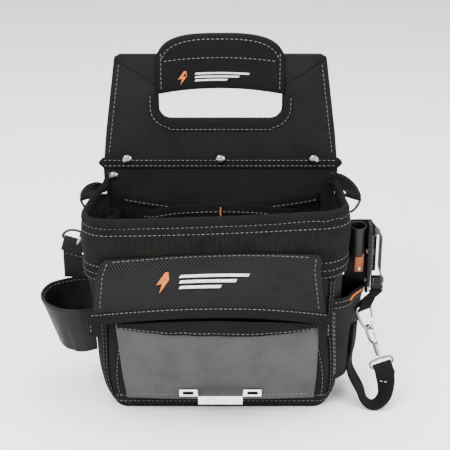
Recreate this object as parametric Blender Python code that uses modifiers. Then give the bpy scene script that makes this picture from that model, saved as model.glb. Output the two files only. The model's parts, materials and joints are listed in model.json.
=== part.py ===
"""Electrician tool pouch. Metres, +Z up, the front faces -Y, the origin is the middle of the base underside."""

import math

import bmesh
import bpy
from mathutils import Matrix, Vector

# Driving dimensions
GAP = 0.0003
WALL = 0.003
RIM_Z = 0.2035
RIM_BACK_RISE = 0.009
FRONT_Y = -0.050
BACK_Y = 0.040
RIM_HALF = 0.125
SIDE_BACK_HALF = 0.1165
SIDE_TAPER = 0.0105
TOE_TUCK = 0.0105
TOE_HEIGHT = 0.025
CORNER = 0.028
FRONT_BOW = 0.003
BASE_T = 0.0025

PANEL_LAYER = 0.0018
BOARD_T = 0.002
PANEL_TOP = 0.3405
PANEL_TOP_HALF = 0.104
PANEL_WELT_HALF = 0.119
WELT_Z = 0.2318
WELT_HALF_HEIGHT = 0.0078
RIVET_Z = 0.2345
RIVET_X = 0.094

ARCH_HALF = 0.064
ARCH_FOOT_Z = 0.3435
ARCH_RISE = 0.0165
GRIP_HALF = 0.062
GRIP_T = 0.0022
GRIP_BOTTOM = 0.3075
GRIP_SAG = 0.006
OPENING_HALF = 0.0626
OPENING_FLOOR = 0.2745

BAND_LOW = 0.150
BAND_HIGH = 0.197
BAND_T = 0.0022
HEM_LOW = 0.1438

POCKET_HALF = 0.0955
POCKET_FLOOR = 0.0170
POCKET_TOP = 0.100
POCKET_TOP_RISE = 0.013
POCKET_T = 0.0016

FLAP_HINGE = Vector((0.0, -0.0567, 0.1685))
FLAP_T = 0.0018
FLAP_TOP_HALF = 0.098
FLAP_BOTTOM_HALF = 0.104

BRACKET_Z = 0.0285
BRACKET_T = 0.0015

HOOK_FOOT = Vector((0.1605, -0.0310, 0.0480))
HOOK_UP = Vector((-0.335, 0.396, 0.853)).normalized()
EYE_BAR = Vector((0.927, -0.024, 0.375)).normalized()
HOOK_TURN = math.radians(-45)
EYE_DROP = 0.010
HOOK_SEAT = 0.0289
RING_BAR_TO_BOW = 0.0235
RING_WIRE = 0.0016
D_WIRE = 0.0014
RING_UP = Vector((-0.274, 0.320, 0.909))
RECT_BAR = Vector((0.1585, -0.001, 0.1117))
RECT_DROP = 0.0062
PIN_Z = 0.1190

STAND = Matrix.Rotation(math.radians(90), 4, "X")


# Scene helpers
def clear_scene():
    for obj in list(bpy.data.objects):
        bpy.data.objects.remove(obj, do_unlink=True)


def new_collection(name, hidden=False):
    made = bpy.data.collections.new(name)
    bpy.context.scene.collection.children.link(made)
    made.hide_render = hidden
    return made


def material(name, colour, roughness, metallic=0.0):
    made = bpy.data.materials.new(name)
    made.use_nodes = True
    shader = made.node_tree.nodes["Principled BSDF"]
    shader.inputs["Base Color"].default_value = (*colour, 1.0)
    shader.inputs["Roughness"].default_value = roughness
    shader.inputs["Metallic"].default_value = metallic
    return made


clear_scene()
PARTS = new_collection("electrician_tool_pouch")
CUTTERS = new_collection("cutters", hidden=True)

POLYESTER = material("black_ballistic_polyester", (0.022, 0.022, 0.024), 0.8)
WEBBING = material("black_webbing", (0.030, 0.029, 0.028), 0.85)
BINDING = material("dark_binding_tape", (0.045, 0.045, 0.045), 0.8)
LEATHER = material("black_leather", (0.020, 0.019, 0.019), 0.5)
TAN_LEATHER = material("orange_leather", (0.42, 0.16, 0.07), 0.55)
GREY_FABRIC = material("grey_pocket_fabric", (0.20, 0.21, 0.22), 0.7)
BOARD = material("stiffener_board", (0.05, 0.05, 0.05), 0.6)
NICKEL = material("nickel", (0.72, 0.69, 0.66), 0.25, 1.0)
BRIGHT_STEEL = material("bright_steel", (0.86, 0.86, 0.87), 0.22, 1.0)
DARK_WIRE = material("dark_wire", (0.10, 0.10, 0.11), 0.35, 1.0)


def link(name, data, mat, matrix=Matrix.Identity(4)):
    obj = bpy.data.objects.new(name, data)
    data.materials.append(mat)
    obj.matrix_world = matrix
    PARTS.objects.link(obj)
    return obj


def sheet(name, us, vs, place, thickness, mat):
    """A bent sheet: a grid whose points place(u, v) puts, thickened evenly to both sides."""
    across, along = len(us) - 1, len(vs) - 1
    bm = bmesh.new()
    bmesh.ops.create_grid(bm, x_segments=across, y_segments=along, size=1.0)
    for vert in bm.verts:
        u = us[round((vert.co.x + 1) / 2 * across)]
        v = vs[round((vert.co.y + 1) / 2 * along)]
        vert.co = place(u, v)
    mesh = bpy.data.meshes.new(name)
    bm.to_mesh(mesh)
    bm.free()
    obj = link(name, mesh, mat)
    solid = obj.modifiers.new("Thickness", "SOLIDIFY")
    solid.thickness = thickness
    solid.offset = 0.0
    solid.use_even_offset = True
    return obj


def plate(name, outlines, thickness, matrix, mat):
    """A flat plate from closed outlines in its own XY plane: the first is its edge, the others are holes."""
    curve = bpy.data.curves.new(name, "CURVE")
    curve.dimensions = "2D"
    curve.fill_mode = "BOTH"
    curve.extrude = thickness / 2
    for outline in outlines:
        spline = curve.splines.new("POLY")
        spline.points.add(len(outline) - 1)
        for point, (x, y) in zip(spline.points, outline):
            point.co = (x, y, 0.0, 1.0)
        spline.use_cyclic_u = True
    return link(name, curve, mat, matrix)


def standing_plate(name, outlines, front_y, thickness, mat):
    """A plate in the XZ plane whose front face is at front_y."""
    matrix = Matrix.Translation((0.0, front_y + thickness / 2, 0.0)) @ STAND
    return plate(name, outlines, thickness, matrix, mat)


def turned(name, profile, matrix, mat, steps=16):
    """A turned piece: the profile's (radius, height) points run down its outer side."""
    mesh = bpy.data.meshes.new(name)
    edges = [(i, i + 1) for i in range(len(profile) - 1)]
    mesh.from_pydata([(r, 0.0, z) for r, z in profile], edges, [])
    obj = link(name, mesh, mat, matrix)
    screw = obj.modifiers.new("Turn", "SCREW")
    screw.steps = steps
    screw.render_steps = steps
    screw.use_merge_vertices = True
    screw.merge_threshold = 0.00001
    return obj


def wire(name, points, radius, mat, cyclic=False):
    curve = bpy.data.curves.new(name, "CURVE")
    curve.dimensions = "3D"
    curve.bevel_depth = radius
    curve.bevel_resolution = 2
    curve.use_fill_caps = not cyclic
    spline = curve.splines.new("POLY")
    spline.points.add(len(points) - 1)
    for point, place in zip(spline.points, points):
        point.co = (*place, 1.0)
    spline.use_cyclic_u = cyclic
    return link(name, curve, mat)


def as_mesh(obj):
    """The same object as a plain mesh, so that Booleans can use it."""
    bpy.context.view_layer.update()
    graph = bpy.context.evaluated_depsgraph_get()
    mesh = bpy.data.meshes.new_from_object(obj.evaluated_get(graph))
    bm = bmesh.new()
    bm.from_mesh(mesh)
    bmesh.ops.remove_doubles(bm, verts=bm.verts, dist=0.000001)
    bmesh.ops.recalc_face_normals(bm, faces=bm.faces)
    bm.to_mesh(mesh)
    bm.free()
    name, matrix = obj.name, obj.matrix_world.copy()
    bpy.data.objects.remove(obj, do_unlink=True)
    made = bpy.data.objects.new(name, mesh)
    made.matrix_world = matrix
    PARTS.objects.link(made)
    return made


def join_to(obj, other):
    """Makes the other mesh object part of this one."""
    PARTS.objects.unlink(other)
    CUTTERS.objects.link(other)
    hide_helper(other)
    union = obj.modifiers.new("Join", "BOOLEAN")
    union.operation = "UNION"
    union.object = other


def hide_helper(obj):
    obj.hide_render = True
    obj.display_type = "WIRE"


def drill(obj, centre, axis, radius, length):
    """Cuts a round hole of this length, centred at a point, through a mesh object."""
    bm = bmesh.new()
    bmesh.ops.create_cone(
        bm, cap_ends=True, segments=14, radius1=radius, radius2=radius, depth=length
    )
    mesh = bpy.data.meshes.new("drill")
    bm.to_mesh(mesh)
    bm.free()
    cutter = bpy.data.objects.new("drill", mesh)
    turn = Vector((0, 0, 1)).rotation_difference(Vector(axis)).to_matrix().to_4x4()
    cutter.matrix_world = Matrix.Translation(centre) @ turn
    CUTTERS.objects.link(cutter)
    hide_helper(cutter)
    cut = obj.modifiers.new("Hole", "BOOLEAN")
    cut.operation = "DIFFERENCE"
    cut.object = cutter


# Shape helpers
def spread(low, high, count):
    return [low + (high - low) * i / (count - 1) for i in range(count)]


def smooth(points, per_span=3):
    """A smooth run through the points: Catmull-Rom, with per_span steps between two of them."""
    ends = [points[0] * 2 - points[1], *points, points[-1] * 2 - points[-2]]
    found = []
    for a, b, c, d in zip(ends, ends[1:], ends[2:], ends[3:]):
        for step in range(per_span):
            k = step / per_span
            found.append(
                (b * 2 + (c - a) * k + (a * 2 - b * 5 + c * 4 - d) * k**2 + (b * 3 - a - c * 3 + d) * k**3) / 2
            )
    return [*found, points[-1].copy()]


def arc(centre, radius, start, end, steps):
    """Points of a flat arc, angles in degrees."""
    angles = spread(math.radians(start), math.radians(end), steps + 1)
    return [(centre[0] + radius * math.cos(a), centre[1] + radius * math.sin(a)) for a in angles]


def ribbon(name, centres, half_widths, thickness, mat):
    """A strap: the points along its middle, and the vectors from there to one edge."""

    def place(i, side):
        return centres[i] + half_widths[i] * side

    return sheet(name, range(len(centres)), (-1, 1), place, thickness, mat)


def lerp_all(start, end, count):
    return [start.lerp(end, k) for k in spread(0.0, 1.0, count)]


def folded_tab(name, bar, bar_dir, strap_dir, length, width, thickness, wire_radius, mat):
    """A strap folded round a bar, with both legs running off along strap_dir."""
    away = wire_radius + GAP + thickness / 2
    normal = bar_dir.cross(strap_dir).normalized()
    turn = [(math.cos(a), math.sin(a)) for a in spread(0.0, math.pi, 7)]
    centres = [bar + normal * away + strap_dir * length]
    centres += [bar + normal * away * c - strap_dir * away * s for c, s in turn]
    centres += [bar - normal * away + strap_dir * length]
    return ribbon(name, centres, [bar_dir * width / 2] * len(centres), thickness, mat)


def d_ring_points(bar, bar_dir, bow_dir, half_width, depth, corner=0.003):
    """A D ring: a straight bar, rounded corners and a bow that ends at depth from the bar."""
    flat = [(-half_width + corner, 0.0), (half_width - corner, 0.0)]
    flat += arc((half_width - corner, corner), corner, -45, 0, 2)
    flat += [
        (half_width * math.cos(a), corner + (depth - corner) * math.sin(a))
        for a in spread(math.radians(15), math.radians(165), 11)
    ]
    flat += arc((-half_width + corner, corner), corner, 180, 225, 2)
    return [bar + bar_dir * x + bow_dir * y for x, y in flat]


def rivet(name, centre, axis, head_radius, head_height, grip_length, mat=NICKEL):
    """A domed rivet: centre is on the face under its head, axis points out of that face."""
    shank, burr, burr_t = head_radius * 0.4, head_radius * 0.75, 0.0010
    dome = [
        (head_radius * math.sin(a), GAP + 0.0004 + head_height * math.cos(a))
        for a in spread(0.0, math.pi / 2, 5)
    ]
    back = -grip_length - GAP
    stem = [(head_radius, GAP), (shank, GAP), (shank, back), (burr, back), (burr, back - burr_t), (0.0, back - burr_t)]
    turn = Vector((0, 0, 1)).rotation_difference(Vector(axis)).to_matrix().to_4x4()
    return turned(name, dome + stem, Matrix.Translation(centre) @ turn, mat, steps=14)


def rivet_hole(x, z):
    return [(px, pz) for px, pz in arc((x, z), 0.0024, 0, 345, 12)]


# Body shell
def half_width(z):
    tuck = max(0.0, 1 - z / TOE_HEIGHT) ** 2
    return RIM_HALF - SIDE_TAPER * (1 - min(z, RIM_Z) / RIM_Z) - TOE_TUCK * tuck


def plan(t, z, out=0.0):
    """A point of the body's outline at height z. t runs 0..1 along the left side from the back panel, 1..2
    round the left corner, 2..3 across the front, 3..4 round the right corner and 4..5 back along the side."""
    side, k = (-1, t) if t <= 2.5 else (1, 5 - t)
    half = half_width(z)
    centre_x, centre_y = half - CORNER, FRONT_Y + CORNER
    if k <= 1:
        back_half = SIDE_BACK_HALF - (RIM_HALF - half)
        x = back_half + (half - back_half) * k + out
        y = BACK_Y - GAP + (centre_y - BACK_Y + GAP) * k
    elif k <= 2:
        angle = (k - 1) * math.pi / 2
        x = centre_x + (CORNER + out) * math.cos(angle)
        y = centre_y - (CORNER + out) * math.sin(angle)
    else:
        x = centre_x * (1 - (k - 2) / 0.5)
        y = FRONT_Y - out - FRONT_BOW * (z / RIM_Z) * (1 - (x / centre_x) ** 2)
    return side * x, y


def rim_height(t):
    k = min(t, 5 - t)
    return RIM_Z + RIM_BACK_RISE * max(0.0, 1 - k)


LEFT_SIDE = [0.0, 0.5, 1.0, 1.25, 1.5, 1.75, 1.985]
FRONT = [2.004, 2.17, 2.34, 2.5, 2.66, 2.83, 2.996]
RIGHT_SIDE = [5 - t for t in reversed(LEFT_SIDE)]
ALL_ROUND = LEFT_SIDE[:-1] + [2.0, 2.17, 2.34, 2.5, 2.66, 2.83, 3.0] + RIGHT_SIDE[1:]
WALL_HEIGHTS = [0.0, 0.035, 0.09, 0.22, 0.6, 1.0]


def wall(name, ts):
    low = BASE_T + GAP

    def place(t, v):
        z = low + (rim_height(t) - low) * v
        return (*plan(t, z, -WALL / 2), z)

    return sheet(name, ts, WALL_HEIGHTS, place, WALL, POLYESTER)


def skin(name, ts, low, high, thickness, mat, out=GAP):
    """A strip lying on the outside of the walls."""

    def place(t, v):
        z = low + (high - low) * v
        return (*plan(t, z, out + thickness / 2), z)

    return sheet(name, ts, (0.0, 1.0), place, thickness, mat)


def make_body():
    wall("front_panel", FRONT)
    for name, ts, side in (("side_gusset_left", LEFT_SIDE, -1), ("side_gusset_right", RIGHT_SIDE, 1)):
        gusset = wall(name, ts)
        drill(gusset, tab_rivet_centre(side), (1, 0, 0), 0.0019, 0.012)
        rivet(f"tab_rivet_{'left' if side < 0 else 'right'}", tab_rivet_centre(side), (side, 0, 0), 0.0038, 0.0016, 0.0036)
    base = [plan(t, 0.0) for t in ALL_ROUND]
    plate("base_panel", [base], BASE_T, Matrix.Translation((0, 0, BASE_T / 2)), POLYESTER)
    inner = [plan(t, BASE_T, -WALL - 0.001) for t in ALL_ROUND]
    inner = [(x, min(y, BACK_Y - 0.001)) for x, y in inner]
    plate("base_board", [inner], BOARD_T, Matrix.Translation((0, 0, BASE_T + GAP + BOARD_T / 2)), BOARD)
    skin("ribbed_band", ALL_ROUND, BAND_LOW, BAND_HIGH, BAND_T, WEBBING)
    skin("band_hem", ALL_ROUND, HEM_LOW, BAND_LOW - GAP, BAND_T + 0.0004, BINDING)

    def rim(t, v):
        z = rim_height(t) + GAP + 0.0032 * v
        return (*plan(t, RIM_Z, -WALL / 2), z)

    sheet("rim_binding", [0.012, *ALL_ROUND[1:-1], 4.988], (0.0, 1.0), rim, WALL + 0.002, BINDING)


def tab_rivet_centre(side):
    """On the outside of a gusset, just under the rim near the back panel."""
    x, y = plan(0.29, 0.2035)
    return Vector((side * abs(x), y, 0.2035))


# Back panel and handle
def arch_top(x):
    return ARCH_FOOT_Z + ARCH_RISE * math.sqrt(max(0.0, 1 - (x / ARCH_HALF) ** 2))


def grip_bottom(x):
    return GRIP_BOTTOM - GRIP_SAG * (x / GRIP_HALF) ** 2


GRIP_XS = [-0.062, -0.060, -0.056, -0.049, -0.038, -0.020, 0.0, 0.020, 0.038, 0.049, 0.056, 0.060, 0.062]


def grip_cover(x):
    """The height the grip takes up at its edge, which is more where the arch is steep."""
    return GRIP_T + GAP + 0.0001 + 0.0016 * abs(x / GRIP_HALF) ** 6


def panel_outline():
    right = [
        (0.104, 0.0),
        (0.112, 0.008),
        (0.1155, 0.030),
        (0.1165, 0.120),
        (PANEL_WELT_HALF, WELT_Z),
        (PANEL_TOP_HALF, PANEL_TOP - 0.003),
        (PANEL_TOP_HALF - 0.003, PANEL_TOP),
        (GRIP_HALF + 0.0012, PANEL_TOP),
    ]
    top = [(x, arch_top(x) - grip_cover(x)) for x in reversed(GRIP_XS)]
    return right + top + [(-x, z) for x, z in reversed(right)]


def panel_opening():
    """The hand opening: square to the grip above, with round lower corners."""
    top = [(x * OPENING_HALF / GRIP_HALF, grip_bottom(x) + grip_cover(x)) for x in GRIP_XS]
    radius = 0.013
    inset = OPENING_HALF - radius
    floor = OPENING_FLOOR + radius
    return top + arc((inset, floor), radius, 0, -90, 4) + arc((-inset, floor), radius, -90, -180, 4)


def make_back():
    holes = [rivet_hole(x, RIVET_Z) for x in (-RIVET_X, 0.0, RIVET_X)]
    gusset_hole = rivet_hole(-0.1084, 0.2164)
    rear_y = BACK_Y + PANEL_LAYER + GAP + BOARD_T + GAP
    for name, y in (("front_facing", BACK_Y), ("back_panel", rear_y)):
        outlines = [panel_outline(), panel_opening(), *holes, gusset_hole]
        standing_plate(name, outlines, y, PANEL_LAYER, POLYESTER)
    board = [(-0.098, 0.010), (0.098, 0.010), (0.103, 0.232), (0.099, 0.262), (-0.099, 0.262), (-0.103, 0.232)]
    standing_plate("back_stiffener", [board, *holes], BACK_Y + PANEL_LAYER + GAP, BOARD_T, BOARD)

    welt_t = 0.002
    welt = arc((PANEL_WELT_HALF - 0.004, WELT_Z), WELT_HALF_HEIGHT, -80, 80, 6)
    welt += [(-x, z) for x, z in reversed(welt)]
    standing_plate("welt_strip", [welt, *holes], BACK_Y - GAP - welt_t, welt_t, BINDING)
    stack = rear_y + PANEL_LAYER - BACK_Y + GAP + welt_t
    for name, x in (("left", -RIVET_X), ("centre", 0.0), ("right", RIVET_X)):
        rivet(f"welt_rivet_{name}", (x, BACK_Y - GAP - welt_t, RIVET_Z), (0, -1, 0), 0.005, 0.0026, stack)
    rivet("gusset_rivet_left", (-0.1084, BACK_Y, 0.2164), (0, -1, 0), 0.0046, 0.0024, rear_y + PANEL_LAYER - BACK_Y)

    front = BACK_Y - GAP - GRIP_T / 2
    rear = rear_y + PANEL_LAYER + GAP + GRIP_T / 2

    def grip(x, v):
        low, high = grip_bottom(x) + GRIP_T / 2, arch_top(x) - GRIP_T / 2
        loop = [((front + rear) / 2 + 0.0004, low), (rear, low), (rear, (low + high) / 2), (rear, high)]
        loop += [(front, high), (front, (low + high) / 2), (front, low), ((front + rear) / 2, low)]
        return (x, *loop[v])

    sheet("handle_grip", GRIP_XS, range(8), grip, GRIP_T, POLYESTER)

    binding_t, side, bottom, radius = 0.0012, 0.0070, 0.0110, 0.020
    outer_half, outer_floor = OPENING_HALF + side, OPENING_FLOOR - bottom
    top = grip_bottom(GRIP_HALF) - 0.0006
    inner_r = 0.0135
    loop = [(outer_half, top)]
    loop += arc((outer_half - radius, outer_floor + radius), radius, 0, -90, 5)
    loop += arc((-outer_half + radius, outer_floor + radius), radius, -90, -180, 5)
    loop += [(-outer_half, top), (-OPENING_HALF, top)]
    loop += arc((-OPENING_HALF + inner_r, OPENING_FLOOR + inner_r), inner_r, 180, 270, 4)
    loop += arc((OPENING_HALF - inner_r, OPENING_FLOOR + inner_r), inner_r, 270, 360, 4)
    loop += [(OPENING_HALF, top)]
    standing_plate("opening_binding", [loop], BACK_Y - GAP - binding_t, binding_t, BINDING)

    def tunnel(z, side):
        k = abs(z - 0.1675) / 0.0475
        stand_off = 0.0085 * (1 - k**4)
        return (0.058 * side, rear_y + PANEL_LAYER + GAP + 0.0011 + stand_off, z)

    sheet("belt_tunnel", spread(0.120, 0.215, 9), (-1, 1), tunnel, 0.0022, WEBBING)


# Inside
def make_inside():
    def back_pocket(u, v):
        top = 0.190 + 0.0085 * u * u
        return (0.101 * u, BACK_Y - 0.0012 - 0.0085 * (1 - u * u), 0.060 + (top - 0.060) * v)

    sheet("inner_back_pocket", spread(-1, 1, 9), (0.0, 0.5, 1.0), back_pocket, 0.0012, POLYESTER)

    ends = [Vector(p) for p in ((0.078, 0.0290), (0.066, 0.0170), (0.035, 0.0110), (0.0, 0.0090))]
    path = smooth([Vector((-p.x, p.y)) for p in ends] + list(reversed(ends[:-1])), 2)

    def divider(i, v):
        x, y = path[i]
        top = 0.1965 - 0.013 * (abs(x) / 0.078) ** 2.5
        return (x, y, 0.060 + (top - 0.060) * v)

    sheet("divider_pocket", range(len(path)), (0.0, 0.5, 1.0), divider, 0.0014, POLYESTER)

    bows = smooth([Vector(p) for p in ((-0.1128, 0.022), (-0.105, 0.0185), (-0.1025, 0.010), (-0.106, 0.001), (-0.1140, -0.003))], 2)

    def elastic(i, v):
        return (*bows[i], 0.164 + 0.024 * v)

    sheet("elastic_tool_loop", range(len(bows)), (0.0, 1.0), elastic, 0.0012, WEBBING)


# Front pocket and flap
def pocket_depth(u, v):
    return 0.0125 + (0.004 * (1 - v) + 0.023 * v) * (1 - abs(u) ** 2.2)


def pocket_top(u):
    return POCKET_TOP + POCKET_TOP_RISE * (1 - u * u)


def pocket_point(u, v, out=0.0):
    half = POCKET_HALF - 0.0035 * (1 - max(v, 0.0))
    front = FRONT_Y - pocket_depth(u, max(v, 0.0)) - out
    if v < 0:
        inner = FRONT_Y - 0.0010
        return Vector((half * u, front + (inner - front) * -v, POCKET_FLOOR))
    return Vector((half * u, front, POCKET_FLOOR + (pocket_top(u) - POCKET_FLOOR) * v))


POCKET_US = [-1.0, -0.93, -0.78, -0.55, -0.28, 0.0, 0.28, 0.55, 0.78, 0.93, 1.0]


def make_front_pocket():
    sheet("grey_pocket_front", POCKET_US, (-1.0, 0.0, 0.25, 0.5, 0.75, 1.0), pocket_point, POCKET_T, GREY_FABRIC)
    out = POCKET_T / 2 + GAP + 0.0014

    def mouth(u, v):
        point = pocket_point(u, 0.845 + 0.155 * v, out)
        return point + Vector((0, 0, 0.0012 * v))

    sheet("pocket_binding", POCKET_US, (0.0, 1.0), mouth, 0.0012, BINDING)
    for name, side in (("left", -1), ("right", 1)):

        def gusset(v, across, side=side):
            edge = pocket_point(side, v, -POCKET_T / 2 - GAP - 0.0002)
            inner = plan(2.0, edge.z, 0.0006)[1]
            y = edge.y + (inner - edge.y) * across
            return (edge.x - side * 0.0008, y, edge.z + 0.0022 * (1 - v))

        sheet(f"pocket_gusset_{name}", spread(0.0, 1.0, 4), (0.0, 1.0), gusset, 0.0012, POLYESTER)


def make_bracket():
    ear, step, bar = -0.0712, 0.0013, -0.0845
    path = [(-0.0405, ear), (-0.0300, ear), (-0.0222, ear), (-0.0222 + step, bar), (-0.010, bar)]
    path += [(-x, y) for x, y in reversed(path)]

    def strip(i, v):
        x, y = path[i]
        low, high = (0.0040, 0.0036) if y == ear else (0.0050, 0.0038)
        return (x, y, BRACKET_Z + (high if v else -low))

    bracket = sheet("tool_bracket", range(len(path)), (0, 1), strip, BRACKET_T, BRIGHT_STEEL)
    for name, side in (("left", -1), ("right", 1)):
        centre = Vector((side * 0.0318, ear, BRACKET_Z - 0.0002))
        slot = slot_outline(0.0056, 0.0017)
        cutter = plate("bracket_slot", [slot], 0.006, Matrix.Translation(centre) @ STAND, BOARD)
        cutter = as_mesh(cutter)
        PARTS.objects.unlink(cutter)
        CUTTERS.objects.link(cutter)
        hide_helper(cutter)
        cut = bracket.modifiers.new("Slot", "BOOLEAN")
        cut.operation = "DIFFERENCE"
        cut.object = cutter
        keeper = slot_outline(0.0052, 0.0013)
        plate(f"bracket_keeper_{name}", [keeper], 0.0014, Matrix.Translation(centre) @ STAND, WEBBING)


def slot_outline(half_length, radius):
    inset = half_length - radius
    return arc((inset, 0), radius, -90, 90, 5) + arc((-inset, 0), radius, 90, 270, 5)


FLAP_CENTRE = [Vector(p) for p in ((-0.0567, 0.1690), (-0.0680, 0.1600), (-0.0810, 0.1450), (-0.0880, 0.1290))]
FLAP_EDGE = [Vector(p) for p in ((-0.0560, 0.1650), (-0.0585, 0.1500), (-0.0610, 0.1320), (-0.0625, 0.1140))]
FLAP_ROWS = list(zip(smooth(FLAP_CENTRE, 2), smooth(FLAP_EDGE, 2)))


def flap_blend(u):
    return max(0.0, 1 - abs(u) ** 2.2)


def flap_point(u, row):
    centre, edge = FLAP_ROWS[row]
    y, z = edge.lerp(centre, flap_blend(u))
    half = FLAP_TOP_HALF + (FLAP_BOTTOM_HALF - FLAP_TOP_HALF) * row / (len(FLAP_ROWS) - 1)
    return Vector((half * u, y, z))


def make_flap():
    sheet("flap", POCKET_US, range(len(FLAP_ROWS)), flap_point, FLAP_T, POLYESTER)
    trim_t, tail = 0.0013, 0.945
    us = [-1.05, -tail - 0.002, -tail + 0.004, -0.8, -0.55, -0.28, 0.0, 0.28, 0.55, 0.8, tail - 0.004, tail + 0.002, 1.05]
    last = len(FLAP_ROWS) - 1

    def trim(u, v):
        outward = Vector((0, -FLAP_T / 2 - GAP - trim_t / 2 - 0.0004, 0))
        upper, edge = flap_point(u, last - 1), flap_point(u, last)
        top = edge.lerp(upper, 0.75) + outward
        bottom_z = 0.1035 + 0.018 * flap_blend(u)
        lower = Vector((edge.x, -0.0650 - 0.0268 * flap_blend(u), bottom_z))
        if abs(u) > tail:
            lower.z = 0.0880
            lower.y = -0.0660
        if v < 1:
            return top if v == 0 else edge + outward * 1.15
        return lower

    sheet("flap_trim", us, (0, 0.5, 1), trim, trim_t, BINDING)


# Left side: holster loop and its ring
def make_holster():
    outline = [(-0.1165, -0.0405), (-0.136, -0.0465), (-0.157, -0.0425), (-0.1735, -0.025), (-0.1775, -0.003)]
    outline += [(-0.1715, 0.017), (-0.156, 0.030), (-0.138, 0.0355), (-0.1205, 0.0365)]
    path = smooth([Vector(p) for p in outline], 2)
    root_x = -0.1165

    def loop(i, v):
        x, y = path[i]
        taper = 0.70 + 0.30 * v
        return (root_x + (x - root_x) * taper, y, 0.0615 + 0.0445 * v)

    sheet("holster_loop", range(len(path)), (0.0, 0.5, 1.0), loop, 0.0025, LEATHER)
    back = [(-0.160, 0.1085), (-0.1215, 0.1085), (-0.1215, 0.128), (-0.142, 0.1345), (-0.160, 0.138)]
    standing_plate("holster_back", [back], 0.0285, 0.0020, LEATHER)
    bar_dir = Vector((math.cos(math.radians(17)), 0, -math.sin(math.radians(17))))
    down = Vector((-bar_dir.z, 0, bar_dir.x)) * -1
    bar = Vector((-0.1505, 0.0295, 0.1492))
    folded_tab("holster_tab", bar, bar_dir, down, 0.0125, 0.018, 0.0016, D_WIRE, LEATHER)
    ring = d_ring_points(bar, bar_dir, -down, 0.0128, 0.0118, 0.0022)
    wire("holster_d_ring", ring, D_WIRE, DARK_WIRE, cyclic=True)


def make_upper_tab(side):
    """A webbing tab from the face of the back panel, over the rim, folded round a D ring's bar."""
    name = "left" if side < 0 else "right"
    points = [(0.1095, 0.0362, 0.2172), (0.1170, 0.0310, 0.2178), (0.1270, 0.0247, 0.2140), (0.1345, 0.0198, 0.2058)]
    widths = [(1, 0, 0), (1, 0, 0), (0.97, 0.1, -0.2), (0.93, 0.1, -0.34)]
    root, end = (0.0105, 0.0058) if side < 0 else (0.0080, 0.0056)
    halves = spread(root, end, 4)
    bar_dir = Vector((side * 0.93, 0.10, -0.34)).normalized()
    centres = smooth([Vector((side * x, y, z)) for x, y, z in points], 2)
    half_widths = [Vector((side * x, y, z)).normalized() * h for (x, y, z), h in zip(widths, halves)]
    half_widths = smooth(half_widths, 2)
    heading = (centres[-1] - centres[-2]).normalized()
    heading = (heading - bar_dir * heading.dot(bar_dir)).normalized()
    away = D_WIRE + GAP + 0.0008
    normal = bar_dir.cross(heading).normalized()
    if normal.z < 0:
        normal = -normal
    bar = centres[-1] + heading * 0.0030 - normal * away
    for a in spread(0.0, math.pi, 7):
        centres.append(bar + normal * away * math.cos(a) + heading * away * math.sin(a))
        half_widths.append(bar_dir * end)
    centres.append(centres[-1] - heading * 0.004)
    half_widths.append(bar_dir * end)
    ribbon(f"upper_tab_{name}", centres, half_widths, 0.0016, WEBBING)
    hang = Vector((0, 0, -1))
    bow_dir = (hang - bar_dir * hang.dot(bar_dir) + heading * 0.25).normalized()
    ring = d_ring_points(bar, bar_dir, bow_dir, 0.0085, 0.0175, 0.0022)
    wire(f"upper_d_ring_{name}", ring, D_WIRE, DARK_WIRE, cyclic=True)


def make_side_strap():
    bar_dir = Vector((0.0, 1.0, 0.0))
    points = [(-0.1234, 0.010, 0.1880), (-0.1290, 0.010, 0.1800), (-0.1360, 0.010, 0.1710), (-0.1405, 0.010, 0.1655)]
    centres = smooth([Vector(p) for p in points], 2)
    heading = (centres[-1] - centres[-2]).normalized()
    away = 0.0010 + GAP + 0.0006
    normal = Vector((-heading.z, 0, heading.x))
    bar = centres[-1] + heading * 0.001 + normal * away
    for a in spread(0.0, math.pi, 7):
        centres.append(bar - normal * away * math.cos(a) + heading * away * math.sin(a))
    centres.append(centres[-1] - heading * 0.004)
    ribbon("side_strap_left", centres, [bar_dir * 0.0035] * len(centres), 0.0012, WEBBING)
    hang = Vector((-0.50, 0, -0.86)).normalized()
    ring = d_ring_points(bar, bar_dir, hang, 0.0062, 0.0105, 0.0022)
    wire("link_ring_left", ring, 0.0010, NICKEL, cyclic=True)


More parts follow.
